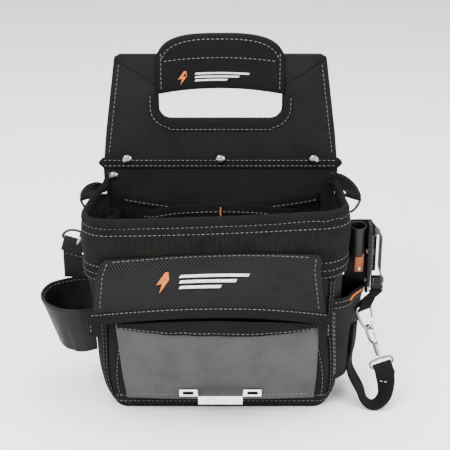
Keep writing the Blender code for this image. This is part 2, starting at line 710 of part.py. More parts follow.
# Right side: pen tube, tape clip, hook and tape strap
def make_hanger():
    outline = [(-0.012, 0.1155), (0.0025, 0.1155), (0.0025, 0.1030), (0.010, 0.1030), (0.010, 0.1785)]
    outline += [(0.008, 0.1805), (-0.010, 0.1805), (-0.012, 0.1785)]
    upright = Matrix.Translation((0.149, 0, 0)) @ Matrix.Rotation(math.radians(90), 4, "Z") @ STAND
    hanger = as_mesh(plate("hanger_strap", [outline], 0.003, upright, LEATHER))
    rivet_z = 0.150
    drill(hanger, (0.149, -0.001, rivet_z), (1, 0, 0), 0.0016, 0.008)
    drill(hanger, (0.149, RECT_BAR.y, PIN_Z), (1, 0, 0), 0.0013, 0.008)

    tube = [(0.0084, 0.0175), (0.0084, -0.0175), (0.0066, -0.0175), (0.0066, 0.0175), (0.0084, 0.0175)]
    turned("pen_tube", tube, Matrix.Translation((0.1372, -0.001, 0.1600)), LEATHER, steps=20)
    tab = [(0.1353, 0.1290), (0.1437, 0.1290), (0.1437, 0.1415), (0.1353, 0.1415)]
    tube_tab = as_mesh(standing_plate("tube_tab", [tab], -0.0045, 0.002, TAN_LEATHER))
    drill(tube_tab, (0.1392, -0.0035, 0.1330), (0, 1, 0), 0.0014, 0.008)
    rivet("tube_rivet", (0.1392, -0.0045, 0.1330), (0, -1, 0), 0.0027, 0.0014, 0.0020)

    inner_x, outer_x, bend_z = 0.1514, 0.1602, 0.1680
    radius = (outer_x - inner_x) / 2
    profile = [(inner_x, 0.1280), (inner_x, 0.1450)]
    profile += arc((inner_x + radius, bend_z), radius, 180, 0, 8)
    profile += [(outer_x, 0.1320), (outer_x + 0.0018, 0.1245)]

    def clip(i, side):
        x, z = profile[i]
        return (x, -0.001 + 0.009 * side, z)

    tape_clip = sheet("tape_clip", range(len(profile)), (-1, 1), clip, 0.0012, BRIGHT_STEEL)
    drill(tape_clip, (inner_x, -0.001, rivet_z), (1, 0, 0), 0.0016, 0.004)
    rivet("clip_rivet", (0.1520, -0.001, rivet_z), (1, 0, 0), 0.0034, 0.0014, 0.0045)


def rounded_rectangle(centre, half_width, half_height, radius):
    outline = []
    for x, z, start in ((1, 1, 90), (1, -1, 0), (-1, -1, -90), (-1, 1, -180)):
        corner = (centre[0] + x * (half_width - radius), centre[1] + z * (half_height - radius))
        outline += arc(corner, radius, start, start - 90, 3)
    return outline


def make_ring_tab():
    """The leather tab on the hanger, the rectangular ring in its fold and the pin that holds both."""
    right = Vector((1, 0, 0))
    folded_tab("ring_tab", RECT_BAR, right, Vector((0, 0, 1)), 0.0115, 0.0120, 0.0016, 0.0010, LEATHER)
    centre = (RECT_BAR.x, RECT_BAR.z - RECT_DROP / 2)
    rect = [Vector((x, RECT_BAR.y, z)) for x, z in rounded_rectangle(centre, 0.0073, RECT_DROP / 2, 0.0018)]
    wire("rect_ring", rect, 0.0010, BRIGHT_STEEL, cyclic=True)
    pin_x = RECT_BAR.x + 0.0060
    rivet("ring_rivet", (pin_x, RECT_BAR.y, PIN_Z), right, 0.0026, 0.0013, pin_x - 0.1475)


def make_hook_webbing():
    """A band of webbing round the rectangular ring and the hook ring, its two layers sewn in the middle."""
    right = Vector((1, 0, 0))
    low_bar = RECT_BAR - Vector((0, 0, RECT_DROP))
    ring_bar, ring_dir, _ = hook_ring_frame()
    first, last = 0.0010 + GAP + 0.0007, RING_WIRE + GAP + 0.0013
    faces = Vector((0, -0.70, 0.71)), Vector((ring_dir.y, -ring_dir.x, 0)).normalized()
    downs = faces[0].cross(right), faces[1].cross(ring_dir)
    downs = [d if d.z < 0 else -d for d in downs]
    middle = low_bar.lerp(ring_bar, 0.5) + Vector((-0.0015, 0, 0.0005))
    face = (faces[0] + faces[1]).normalized()
    centres = [middle + face * 0.0010]
    sides = [right.lerp(ring_dir, 0.5).normalized() * 0.0058]
    for a in spread(0.0, math.pi, 7):
        centres.append(ring_bar + (faces[1] * math.cos(a) + downs[1] * math.sin(a)) * last)
        sides.append(ring_dir * 0.0056)
    centres.append(middle - face * 0.0010)
    sides.append(sides[0])
    for a in spread(math.pi, 2 * math.pi, 7):
        centres.append(low_bar + (faces[0] * math.cos(a) + downs[0] * math.sin(a)) * first)
        sides.append(right * 0.0058)
    centres.append(centres[-1].lerp(centres[0], 0.86))
    sides.append(sides[0])
    ribbon("hook_webbing", centres, sides, 0.0014, WEBBING)


def hook_axes():
    """The hook's own directions: in its plane, out of its plane, and along its shank."""
    normal = HOOK_UP.cross(EYE_BAR).normalized()
    across = EYE_BAR * math.cos(HOOK_TURN) + normal * math.sin(HOOK_TURN)
    return across, HOOK_UP.cross(across).normalized(), HOOK_UP


def hook_ring_frame():
    """The hook ring's bar, the bar's direction and the way up from its bow to its bar."""
    _, out, _ = hook_axes()
    bow = HOOK_FOOT + HOOK_UP * HOOK_SEAT
    up = RING_UP - out * RING_UP.dot(out)
    up.normalize()
    return bow + up * RING_BAR_TO_BOW, out, up


def make_hook():
    across, out, up = hook_axes()
    ring_bar, ring_dir, ring_up = hook_ring_frame()
    ring = d_ring_points(ring_bar, ring_dir, -ring_up, 0.010, RING_BAR_TO_BOW, 0.004)
    wire("hook_ring", ring, RING_WIRE, NICKEL, cyclic=True)

    upright = Matrix((across, out, up)).transposed().to_4x4()
    upright.translation = HOOK_FOOT
    barrel = [(0.0, 0.0130), (0.0018, 0.0130), (0.0027, 0.0115), (0.0027, 0.0012), (0.0022, 0.0)]
    barrel += [(0.0013, 0.0), (0.0013, 0.0090), (0.0, 0.0090)]
    hook = as_mesh(turned("snap_hook", barrel, upright, NICKEL))

    def local(points):
        return [HOOK_FOOT + across * x + up * z for x, z in points]

    bow = [(0.0, 0.0118), (-0.0014, 0.0138), (-0.0042, 0.0165), (-0.0052, 0.0200), (-0.0054, 0.0250), (-0.0046, 0.0290)]
    bow += [(-0.0026, 0.0318), (0.0, 0.0328), (0.0026, 0.0318), (0.0044, 0.0292), (0.0048, 0.0270)]
    bow_wire = as_mesh(wire("snap_hook_bow", local(bow), 0.0014, NICKEL))
    jaw = as_mesh(wire("snap_hook_jaw", local([(0.0, 0.0112), (0.0028, 0.0128), (0.0046, 0.0142)]), 0.0013, NICKEL))
    join_to(hook, bow_wire)
    join_to(hook, jaw)
    gate = [(0.0048, 0.0160), (0.0050, 0.0250)]
    wire("snap_gate", local(gate), 0.0009, NICKEL)

    bar = eye_centre()
    loop = [(-0.0108, 0.0), (0.0108, 0.0), (0.0118, 0.0011), (0.0118, 0.0042), (0.0102, 0.0063), (0.0050, 0.0071)]
    loop += [(0.0, 0.0074), (-0.0050, 0.0071), (-0.0102, 0.0063), (-0.0118, 0.0042), (-0.0118, 0.0011)]
    eye = as_mesh(wire("swivel_eye", [bar + EYE_BAR * x + up * z for x, z in loop], 0.00125, NICKEL, cyclic=True))
    stem = as_mesh(wire("swivel_stem", [bar + up * 0.0074, bar + up * 0.0165], 0.0010, NICKEL))
    join_to(eye, stem)


def eye_centre():
    return HOOK_FOOT - HOOK_UP * EYE_DROP


def make_tape_strap():
    """The strap round the tape: sewn behind the side pocket, down to the floor and up round the hook's eye."""
    bar = eye_centre()
    down = Vector((0.135, -0.368, -0.92))
    down = (down - EYE_BAR * down.dot(EYE_BAR)).normalized()
    face = EYE_BAR.cross(down).normalized()
    face = face if face.y < 0 else -face
    away = 0.00125 + GAP + 0.0008
    centres = [bar - face * (away - 0.0002) + down * 0.012]
    for a in spread(math.pi, 0, 7):
        centres.append(bar + face * away * math.cos(a) - down * away * math.sin(a))
    run = [centres[-1] + down * 0.006]
    run += [Vector(p) for p in ((0.1672, -0.0432, 0.0230), (0.1655, -0.0480, 0.0120), (0.1590, -0.0500, 0.0040))]
    run += [Vector(p) for p in ((0.1510, -0.0490, 0.0021), (0.1440, -0.0440, 0.0055), (0.1385, -0.0365, 0.0150))]
    run += [side_pocket_point(4.06, z, 0.0045) for z in (0.036, 0.056, 0.076)]
    run = smooth(run, 2)
    turns = [EYE_BAR, Vector((0.80, -0.50, 0.33)), Vector((0.5, -0.85, 0.1)), Vector((0.2, -0.98, 0.0))]
    turns += [Vector((0.0, -1.0, 0.0)), Vector((-0.2, -0.98, 0.0)), Vector((-0.35, -0.93, 0.0))]
    turns += [Vector((-0.31, -0.95, 0.0))] * 3
    turns = smooth(turns, 2)
    widths = [EYE_BAR * 0.0095] * len(centres)
    for i, (place, turn) in enumerate(zip(run, turns)):
        tangent = run[min(i + 1, len(run) - 1)] - run[max(i - 1, 0)]
        tangent.normalize()
        centres.append(place)
        widths.append((turn - tangent * turn.dot(tangent)).normalized() * 0.0095)
    ribbon("tape_strap", centres, widths, 0.0016, WEBBING)


SIDE_POCKET_PLAN = [
    (3.40, 0.0012),
    (3.50, 0.0024),
    (3.65, 0.0042),
    (3.80, 0.0062),
    (4.00, 0.0095),
    (4.17, 0.0165),
    (4.35, 0.0240),
    (4.50, 0.0285),
    (4.62, 0.0280),
    (4.76, 0.0200),
    (4.84, 0.0100),
    (4.88, 0.0012),
]
SIDE_POCKET_LOW, SIDE_POCKET_HIGH = 0.034, 0.117


def side_pocket_top(t):
    return SIDE_POCKET_HIGH - 0.007 * min(1.0, (t - 3.40) / 1.1)


def side_pocket_point(t, z, away=0.0):
    """A point of the side pocket's wall, or this far outside it."""
    out = SIDE_POCKET_PLAN[-1][1]
    for (t0, out0), (t1, out1) in zip(SIDE_POCKET_PLAN, SIDE_POCKET_PLAN[1:]):
        if t0 <= t <= t1:
            out = out0 + (out1 - out0) * (t - t0) / (t1 - t0)
    taper = 0.5 + 0.5 * (z - SIDE_POCKET_LOW) / (side_pocket_top(t) - SIDE_POCKET_LOW)
    out = 0.0012 + (out - 0.0012) * taper
    return Vector((*plan(t, z, out + away), z))


def make_side_pocket():
    ts = [t for t, _ in SIDE_POCKET_PLAN]

    def wall_of(t, row):
        if row == 0:
            z = SIDE_POCKET_LOW - 0.005
            return Vector((*plan(t, z, 0.0014), z))
        z = SIDE_POCKET_LOW + (side_pocket_top(t) - SIDE_POCKET_LOW) * (0.0, 0.5, 1.0)[row - 1]
        return side_pocket_point(t, z)

    sheet("side_pocket_right", ts, range(4), wall_of, 0.0014, POLYESTER)


def make_all():
    make_back()
    make_body()
    make_inside()
    make_front_pocket()
    make_bracket()
    make_flap()
    make_holster()
    make_upper_tab(-1)
    make_upper_tab(1)
    make_side_strap()
    make_hanger()
    make_ring_tab()
    make_hook_webbing()
    make_hook()
    make_side_pocket()
    make_tape_strap()


make_all()
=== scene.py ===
"""The looks of the electrician tool pouch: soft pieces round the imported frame, materials, light and camera."""

import json
from math import copysign, cos, exp, hypot, pi, radians, sin, sqrt

import bmesh
import bpy
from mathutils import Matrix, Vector, noise


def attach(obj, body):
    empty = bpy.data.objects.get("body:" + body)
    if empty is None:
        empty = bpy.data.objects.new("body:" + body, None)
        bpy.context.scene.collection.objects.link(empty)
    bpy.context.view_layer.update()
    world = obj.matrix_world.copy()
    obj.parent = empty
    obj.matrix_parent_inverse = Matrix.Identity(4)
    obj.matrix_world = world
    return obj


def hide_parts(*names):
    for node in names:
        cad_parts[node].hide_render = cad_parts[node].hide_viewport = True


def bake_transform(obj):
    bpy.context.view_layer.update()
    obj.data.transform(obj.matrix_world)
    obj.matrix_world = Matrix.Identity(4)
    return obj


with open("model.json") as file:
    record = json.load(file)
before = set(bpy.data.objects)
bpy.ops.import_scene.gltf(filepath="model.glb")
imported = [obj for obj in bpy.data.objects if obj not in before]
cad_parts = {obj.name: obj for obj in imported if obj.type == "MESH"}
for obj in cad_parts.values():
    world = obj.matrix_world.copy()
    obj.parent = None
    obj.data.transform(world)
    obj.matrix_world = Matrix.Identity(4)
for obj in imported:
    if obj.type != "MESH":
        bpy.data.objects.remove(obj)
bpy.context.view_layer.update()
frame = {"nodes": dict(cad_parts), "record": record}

# Sizes the soft pieces share with the frame, in metres
GAP = 0.0003
WALL = 0.003
RIM_Z = 0.2035
RIM_BACK_RISE = 0.009
FRONT_Y = -0.05
BACK_Y = 0.04
BACK_REAR = 0.0462
RIM_HALF = 0.125
SIDE_BACK_HALF = 0.1165
SIDE_TAPER = 0.0105
TOE_TUCK = 0.0105
TOE_HEIGHT = 0.025
CORNER = 0.028
FRONT_BOW = 0.003
BASE_T = 0.0025
BAND_LOW, BAND_HIGH = 0.157, 0.197
WELT_Z, PANEL_TOP = 0.2318, 0.3375
FORWARD, BACKWARD = Vector((0, -1, 0)), Vector((0, 1, 0))


# ---------------------------------------------------------------- materials
class Shade:
    """A material's node tree, with one short call for each kind of node."""

    def __init__(self, name):
        self.mat = bpy.data.materials.new(name)
        self.mat.use_nodes = True
        self.tree = self.mat.node_tree
        self.solid = self.node("TexCoord").outputs["Object"]

    def node(self, kind, inputs=(), **settings):
        """A new node, with its settings set, and its inputs linked or set."""
        node = self.tree.nodes.new("ShaderNode" + kind)
        for key, value in settings.items():
            setattr(node, key, value)
        self.feed(node, inputs)
        return node

    def feed(self, node, inputs):
        for key, value in dict(inputs).items():
            socket = node.inputs[key]
            if isinstance(value, bpy.types.NodeSocket):
                self.tree.links.new(value, socket)
            elif socket.type == "RGBA":
                socket.default_value = (*value, 1.0)
            else:
                socket.default_value = value

    def math(self, operation, a, b=0.0):
        return self.node("Math", {0: a, 1: b}, operation=operation).outputs[0]

    def times(self, a, b):
        return self.math("MULTIPLY", a, b)

    def plus(self, a, b):
        return self.math("ADD", a, b)

    def half_waves(self, value):
        return self.math("SINE", self.times(value, pi))

    def noise(self, scale, detail=3.0, roughness=0.55, stretch=None):
        vector = self.solid
        if stretch:
            vector = self.node("Mapping", {"Vector": vector, "Scale": stretch}).outputs[0]
        inputs = {"Vector": vector, "Scale": scale, "Detail": detail, "Roughness": roughness}
        return self.node("TexNoise", inputs).outputs["Fac"]

    def ramp(self, value, low, high, a, b):
        """A number: a where value is low, b where it is high."""
        inputs = {"Value": value, "From Min": low, "From Max": high, "To Min": a, "To Max": b}
        return self.node("MapRange", inputs).outputs[0]

    def mix(self, factor, a, b):
        return self.node("Mix", {0: factor, 6: a, 7: b}, data_type="RGBA").outputs[2]

    def axes(self):
        """Where the point is on the cloth as it was cut, in metres."""
        x, y, _ = self.node("SeparateXYZ", {0: self.node("UVMap", uv_map="weave").outputs[0]}).outputs
        return x, y

    def bump(self, height, distance, strength=1.0, before=None):
        inputs = {"Height": height, "Distance": distance, "Strength": strength}
        return self.node("Bump", inputs | ({"Normal": before} if before else {})).outputs[0]

    def finish(self, colour, roughness, normal=None, metallic=0.0, sheen=0.0, coat=0.0, specular=0.5):
        inputs = {"Base Color": colour, "Roughness": roughness, "Metallic": metallic, "Sheen Weight": sheen}
        inputs |= {"Sheen Roughness": 0.45, "Coat Weight": coat, "Specular IOR Level": specular}
        if normal:
            inputs["Normal"] = normal
        self.feed(self.tree.nodes["Principled BSDF"], inputs)
        return self.mat


def neutral(level):
    return (level, level, level)


def twill(name, pitch, dark, light, lean=1, float_length=2, depth=0.00018, roughness=0.8, sheen=0.0):
    """A woven cloth: yarns of this pitch that pass over float_length others, one step further on each row."""
    s = Shade(name)
    x, y = s.axes()
    i, j = s.math("DIVIDE", x, pitch), s.math("DIVIDE", y, pitch)
    step = s.plus(s.math("FLOOR", i), s.times(s.math("FLOOR", j), lean))
    over = s.math("LESS_THAN", s.math("FLOORED_MODULO", step, float_length * 2), float_length - 0.5)
    under = s.math("SUBTRACT", 1.0, over)
    across, along = s.half_waves(s.math("FRACT", i)), s.half_waves(s.math("FRACT", j))
    height = s.plus(s.times(over, across), s.times(under, s.times(along, 0.72)))
    patch, fleck = s.noise(38.0, 4.0), s.noise(1400.0, 2.0)
    # Colour: the raised, floating yarns are painted lighter and the low yarns between them darker. That is painted
    # light and shade of the weave's relief. The patches and flecks are the cloth's own uneven tone.
    level = s.plus(s.times(height, 0.35), s.times(over, 0.8))
    level = s.times(level, s.ramp(patch, 0.3, 0.7, 0.65, 1.15))
    level = s.times(level, s.ramp(fleck, 0.3, 0.7, 0.7, 1.3))
    normal = s.bump(height, depth, 0.9, s.bump(s.noise(55.0, 3.0), 0.0012, 0.5))
    rough = s.ramp(patch, 0.3, 0.7, roughness - 0.06, roughness + 0.08)
    return s.finish(s.mix(level, dark, light), rough, normal, sheen=sheen, specular=0.05)


def ribbed(name, pitch, dark, light):
    """Webbing: raised cords side by side, with the cross yarns showing between them."""
    s = Shade(name)
    x, y = s.axes()
    wander = s.times(s.math("SUBTRACT", s.noise(160.0, 2.0), 0.5), 0.0006)
    cords = s.math("DIVIDE", s.plus(x, wander), pitch)
    cord = s.math("POWER", s.math("ABSOLUTE", s.half_waves(cords)), 0.7)
    knit = s.math("ABSOLUTE", s.half_waves(s.math("DIVIDE", y, pitch * 0.55)))
    height = s.plus(s.times(cord, 0.75), s.times(knit, 0.25))
    uneven = s.noise(900.0, 3.0, stretch=(1.0, 1.0, 0.12))
    # Colour: the raised cords are painted lighter and the cross yarns between them darker. That is painted light and
    # shade of the ribs. The streaks and patches are the webbing's own uneven tone.
    level = s.times(height, s.ramp(uneven, 0.35, 0.65, 0.7, 1.2))
    level = s.times(level, s.ramp(s.noise(45.0), 0.3, 0.7, 0.75, 1.15))
    normal = s.bump(height, 0.0003, 0.9, s.bump(s.noise(70.0, 2.0), 0.001, 0.5))
    return s.finish(s.mix(level, dark, light), 0.85, normal, specular=0.05)


def hide(name, dark, light, roughness, coat=0.0):
    """Leather: a pebbled grain with paler scuffs."""
    s = Shade(name)
    cells = s.node("TexVoronoi", {"Vector": s.solid, "Scale": 900.0}, feature="DISTANCE_TO_EDGE")
    crease = s.ramp(cells.outputs["Distance"], 0.0, 0.12, 0.0, 1.0)
    scuff = s.noise(60.0, 5.0, 0.6)
    colour = s.mix(s.ramp(scuff, 0.42, 0.75, 0.0, 1.0), dark, light)
    normal = s.bump(crease, 0.00012, 0.6, s.bump(s.noise(45.0, 3.0), 0.0012, 0.45))
    return s.finish(
        colour, s.ramp(scuff, 0.3, 0.7, roughness - 0.08, roughness + 0.12), normal, coat=coat, specular=0.2
    )


def metal(name, colour, roughness, scratch=0.1, grain=(1.0, 1.0, 14.0)):
    """Plated metal with fine brushing, and duller patches where it is handled."""
    s = Shade(name)
    brushed = s.noise(700.0, 3.0, stretch=grain)
    dull = s.noise(120.0, 4.0)
    lines = s.ramp(brushed, 0.3, 0.7, roughness - scratch * 0.4, roughness + scratch)
    rough = s.plus(lines, s.ramp(dull, 0.45, 0.75, 0.0, 0.12))
    tint = tuple(c * 0.72 for c in colour)
    colour = s.mix(s.ramp(dull, 0.4, 0.8, 0.0, 1.0), colour, tint)
    return s.finish(colour, rough, s.bump(brushed, 0.00003, 0.35), metallic=1.0)


def thread(name, colour, shade):
    s = Shade(name)
    colour = s.mix(s.ramp(s.noise(500.0, 3.0), 0.35, 0.7, 0.0, 1.0), colour, shade)
    return s.finish(colour, 0.75, s.bump(s.noise(2500.0, 2.0), 0.00008, 0.6), specular=0.2)


def pale_floor():
    s = Shade("pale_floor")
    patches = s.ramp(s.noise(3.0, 2.0), 0.2, 0.8, 0.0, 1.0)
    return s.finish(s.mix(patches, neutral(0.945), neutral(0.955)), 0.9)


BALLISTIC = twill("ballistic_polyester", 0.00078, neutral(0.0004), (0.023, 0.0228, 0.0228), lean=-1)
BALLISTIC_BACK = twill("ballistic_mirrored", 0.00078, neutral(0.0004), (0.023, 0.0228, 0.0228), lean=1)
PANEL_CLOTH = twill("panel_cloth", 0.00072, neutral(0.0004), neutral(0.02), lean=1)
SMOOTH_BLACK = twill(
    "grip_cloth", 0.00032, (0.003, 0.003, 0.0032), (0.0085, 0.0085, 0.0088), float_length=1, depth=0.00008,
    roughness=0.7
)
LINING = twill("lining_cloth", 0.0006, (0.0015, 0.0015, 0.0016), neutral(0.012), float_length=1, depth=0.0001)
TAPE = twill(
    "binding_tape", 0.0006, (0.002, 0.002, 0.0021), neutral(0.0125), float_length=1, depth=0.00012, roughness=0.88
)
GREY_CLOTH = twill(
    "grey_pocket_cloth", 0.00052, (0.014, 0.0145, 0.0152), (0.092, 0.093, 0.096), lean=-1, float_length=2,
    depth=0.0001, roughness=0.62, sheen=0.04
)
BAND_CLOTH = ribbed("band_webbing", 0.0021, (0.001, 0.0009, 0.0008), (0.012, 0.0112, 0.01))
STRAP_CLOTH = ribbed("strap_webbing", 0.0014, neutral(0.0012), (0.0115, 0.0115, 0.0113))
BLACK_LEATHER = hide("black_leather", (0.0022, 0.0021, 0.002), (0.0085, 0.008, 0.0076), 0.52)
SHINY_LEATHER = hide("tube_leather", neutral(0.0035), neutral(0.008), 0.36, coat=0.15)
ORANGE_LEATHER = hide("orange_leather", (0.26, 0.07, 0.025), (0.36, 0.12, 0.05), 0.55)
NICKEL = metal("nickel", (0.38, 0.33, 0.3), 0.2)
BRIGHT = metal("bright_steel", (0.92, 0.92, 0.93), 0.14, 0.06, (14.0, 1.0, 1.0))
DARK_STEEL = metal("dark_steel", (0.055, 0.053, 0.052), 0.36)
PALE_THREAD = thread("pale_thread", neutral(0.17), neutral(0.07))
FAINT_THREAD = thread("faint_thread", neutral(0.085), neutral(0.03))
DULL_THREAD = thread("dull_thread", neutral(0.035), neutral(0.015))
BRIGHT_THREAD = thread("bright_thread", neutral(0.7), neutral(0.5))
ORANGE_THREAD = thread("orange_thread", (0.52, 0.15, 0.035), (0.32, 0.08, 0.02))
BOARD_CLOTH = twill("board_cover", 0.00055, neutral(0.0015), neutral(0.01), float_length=1)

# The slot listed for each material; stitches and marks have none.
SLOTS = {mat: "ballistic_polyester" for mat in (BALLISTIC, BALLISTIC_BACK, PANEL_CLOTH, SMOOTH_BLACK, LINING)}
SLOTS |= {TAPE: "binding_tape", BAND_CLOTH: "webbing", STRAP_CLOTH: "webbing", GREY_CLOTH: "grey_fabric"}
SLOTS |= {BLACK_LEATHER: "black_leather", SHINY_LEATHER: "black_leather", ORANGE_LEATHER: "orange_leather"}


# ---------------------------------------------------------------- shape helpers
def ease(value, low, high):
    k = min(1.0, max(0.0, (value - low) / (high - low)))
    return k * k * (3 - 2 * k)


def hump(k):
    """From 0 up to 1 and back to 0, as k goes from 0 to 1."""
    return sin(pi * k)


def spread(low, high, count):
    return [low + (high - low) * i / (count - 1) for i in range(count)]


def smooth_run(points):
    """A function of 0..1 along a smooth line through the points."""
    points = [Vector(p) for p in points]
    ends = [points[0] * 2 - points[1], *points, points[-1] * 2 - points[-2]]
    spans = len(points) - 1

    def at(s):
        i = min(int(s * spans), spans - 1)
        k = s * spans - i
        a, b, c, d = ends[i : i + 4]
        return (b * 2 + (c - a) * k + (a * 2 - b * 5 + c * 4 - d) * k**2 + (b * 3 - a - c * 3 + d) * k**3) / 2

    return at


def on_path(points, k):
    """The point at place k along a list of points, counted from 0."""
    i = min(int(k), len(points) - 2)
    return tuple(a + (b - a) * (k - i) for a, b in zip(points[i], points[i + 1]))


def arc(centre, radius, start, end, steps):
    angles = spread(radians(start), radians(end), steps + 1)
    return [(centre[0] + radius * cos(a), centre[1] + radius * sin(a)) for a in angles]


def crumple(point, scale, amount, seed=0.0):
    """A smooth wrinkle height at a point."""
    return noise.noise(Vector(point) * scale + Vector((seed, seed * 1.7, -seed))) * amount


def slouch(point):
    """How the standing pouch leans: the front goes a little left, its left rim sinks and its right rim lifts."""
    x, y, z = point
    front = 1 - ease(y, -0.02, 0.038)
    lean = -0.0036 * ease(z, 0.02, 0.15) * front
    sink = 0.0048 * (x / 0.125) * ease(z, 0.09, 0.205) * (0.3 + 0.7 * front) * (1 - ease(y, 0.03, 0.04))
    top_fade, amount = (0.25, 0.0056) if x < 0 else (0.7, 0.0034)
    belly = ease(z, 0.004, 0.05) * (1 - top_fade * ease(z, 0.18, 0.206)) * (1 - ease(y, 0.012, 0.036))
    side = amount * belly * ease(abs(x), 0.07, 0.112)
    return Vector((x + lean + copysign(side, x), y, z + sink))


def normal_at(place, u, v):
    step = 0.004
    a = place(min(1.0, u + step), v) - place(max(0.0, u - step), v)
    b = place(u, min(1.0, v + step)) - place(u, max(0.0, v - step))
    return a.cross(b).normalized()


def add(name, data):
    obj = bpy.data.objects.new(name, data)
    bpy.context.scene.collection.objects.link(obj)
    return obj


def build(name, verts, faces, uvs, mat, nodes, body):
    """A mesh that rides a body and stands for the named nodes; the flap's pieces ride no body."""
    mesh = bpy.data.meshes.new(name)
    mesh.from_pydata(verts, [], faces)
    layer = mesh.uv_layers.new(name="weave")
    for loop in mesh.loops:
        layer.data[loop.index].uv = uvs[loop.vertex_index]
    mesh.materials.append(mat)
    for face in mesh.polygons:
        face.use_smooth = True
    obj = add(name, mesh)
    if body == "flap":
        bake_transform(obj)
    else:
        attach(obj, body)
    if nodes:
        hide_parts(*nodes.split())
    return obj


def thicken(obj, thickness, even=False):
    solid = obj.modifiers.new("Thickness", "SOLIDIFY")
    solid.thickness, solid.offset, solid.use_even_offset = thickness, 0.0, even


def round_edges(obj, width):
    bevel = obj.modifiers.new("Edges", "BEVEL")
    bevel.width, bevel.segments, bevel.limit_method = width, 2, "ANGLE"
    return bevel


def cloth(name, nu, nv, place, thickness, mat, nodes="", body="pouch", round_edge=0.35):
    """A sheet of cloth: place(u, v) gives its middle surface for u and v from 0 to 1."""
    verts = [place(i / nu, j / nv) for j in range(nv + 1) for i in range(nu + 1)]
    faces = [
        (j * (nu + 1) + i, j * (nu + 1) + i + 1, (j + 1) * (nu + 1) + i + 1, (j + 1) * (nu + 1) + i)
        for j in range(nv)
        for i in range(nu)
    ]
    middle_u, middle_v = nu // 2, nv // 2
    us, vs = [0.0], [0.0]
    for i in range(nu):
        us.append(us[-1] + (verts[middle_v * (nu + 1) + i + 1] - verts[middle_v * (nu + 1) + i]).length)
    for j in range(nv):
        vs.append(vs[-1] + (verts[(j + 1) * (nu + 1) + middle_u] - verts[j * (nu + 1) + middle_u]).length)
    uvs = [(us[i], vs[j]) for j in range(nv + 1) for i in range(nu + 1)]
    obj = build(name, verts, faces, uvs, mat, nodes, body)
    thicken(obj, thickness, even=True)
    if round_edge:
        bevel = round_edges(obj, thickness * round_edge)
        bevel.angle_limit = radians(50)
        bevel.use_clamp_overlap = True
    return obj


def tube_cloth(name, nu, nv, place, mat, nodes="", caps=True):
    """A closed shape: place(u, v) with v running round its section; with caps, its ends are closed too."""
    verts = [place(i / nu, j / nv) for i in range(nu + 1) for j in range(nv)]
    faces = [
        (i * nv + j, i * nv + (j + 1) % nv, (i + 1) * nv + (j + 1) % nv, (i + 1) * nv + j)
        for i in range(nu)
        for j in range(nv)
    ]
    if caps:
        faces += [tuple(reversed(range(nv))), tuple(nu * nv + j for j in range(nv))]
    us, vs = [0.0], [0.0]
    for i in range(nu):
        us.append(us[-1] + (verts[(i + 1) * nv] - verts[i * nv]).length)
    base = (nu // 2) * nv
    for j in range(nv):
        vs.append(vs[-1] + (verts[base + (j + 1) % nv] - verts[base + j]).length)
    uvs = [(us[i], vs[j]) for i in range(nu + 1) for j in range(nv)]
    obj = build(name, verts, faces, uvs, mat, nodes, "pouch")
    bm = bmesh.new()
    bm.from_mesh(obj.data)
    bmesh.ops.recalc_face_normals(bm, faces=bm.faces)
    bm.to_mesh(obj.data)
    bm.free()
    return obj


def strap(name, centre, half, thickness, mat, steps, across=6, **more):
    """A strap along centre(s), half(s) being the vector from its middle to one edge; also gives its surface."""

    def place(s, w):
        return centre(s) + half(s) * (2 * w - 1)

    return cloth(name, steps, across, place, thickness, mat, **more), place


SEWN = {}


def stitch(points, normals, key=("pouch", "pale"), length=0.003, gap=0.0016, radius=0.00022):
    """Lays stitches along the points, on the side the normal or normals point to. key is (body, thread)."""
    if isinstance(normals, Vector):
        normals = [normals] * len(points)
    lengths = [0.0]
    for a, b in zip(points, points[1:]):
        lengths.append(lengths[-1] + (b - a).length)
    verts, faces = SEWN.setdefault(key, ([], []))

    def at(distance):
        for i in range(len(lengths) - 1):
            if distance <= lengths[i + 1]:
                k = (distance - lengths[i]) / max(1e-9, lengths[i + 1] - lengths[i])
                return points[i].lerp(points[i + 1], k), normals[i].lerp(normals[i + 1], k).normalized()
        return points[-1], normals[-1]

    distance = gap / 2
    while distance + length <= lengths[-1]:
        (a, na), (b, nb) = at(distance), at(distance + length)
        along = (b - a).normalized()
        side = along.cross(na).normalized()
        first = len(verts)
        rings = ((0.0, 0.3, -0.1), (0.16, 0.95, 0.45), (0.5, 1.0, 0.75), (0.84, 0.95, 0.45), (1.0, 0.3, -0.1))
        for k, swell, lift in rings:
            middle = a.lerp(b, k)
            up = na.lerp(nb, k).normalized()
            for step in range(6):
                angle = step * pi / 3
                offset = side * cos(angle) * radius * 1.5 * swell + up * (sin(angle) * swell + lift) * radius
                verts.append(middle + offset)
        for ring in range(4):
            for step in range(6):
                p, q = first + ring * 6 + step, first + ring * 6 + (step + 1) % 6
                faces.append((p, q, q + 6, p + 6))
        faces.append(tuple(first + step for step in reversed(range(6))))
        faces.append(tuple(first + 24 + step for step in range(6)))
        distance += length + gap


def row(v, low=0.01, span=0.98):
    """A line of stitches across a surface, at v."""
    return lambda s: (low + span * s, v)


def column(u, low=0.01, span=0.98):
    """A line of stitches up a surface, at u."""
    return lambda s: (u, low + span * s)


def sew(place, line, lift, key=("pouch", "pale"), side=1, count=80):
    """Stitches on a placed surface: line(s) gives (u, v) for s from 0 to 1, lift is the way up from its middle."""
    points, normals = [], []
    for s in spread(0.0, 1.0, count):
        u, v = line(s)
        normal = normal_at(place, u, v) * side
        points.append(place(u, v) + normal * lift)
        normals.append(normal)
    stitch(points, normals, key)


def finish_stitches():
    threads = {"pale": PALE_THREAD, "bright": BRIGHT_THREAD, "orange": ORANGE_THREAD}
    threads |= {"dull": DULL_THREAD, "faint": FAINT_THREAD}
    for (body, colour), (verts, faces) in sorted(SEWN.items()):
        uvs = [(v.x, v.z) for v in verts]
        build(f"stitching_{body}_{colour}", verts, faces, uvs, threads[colour], "", body)


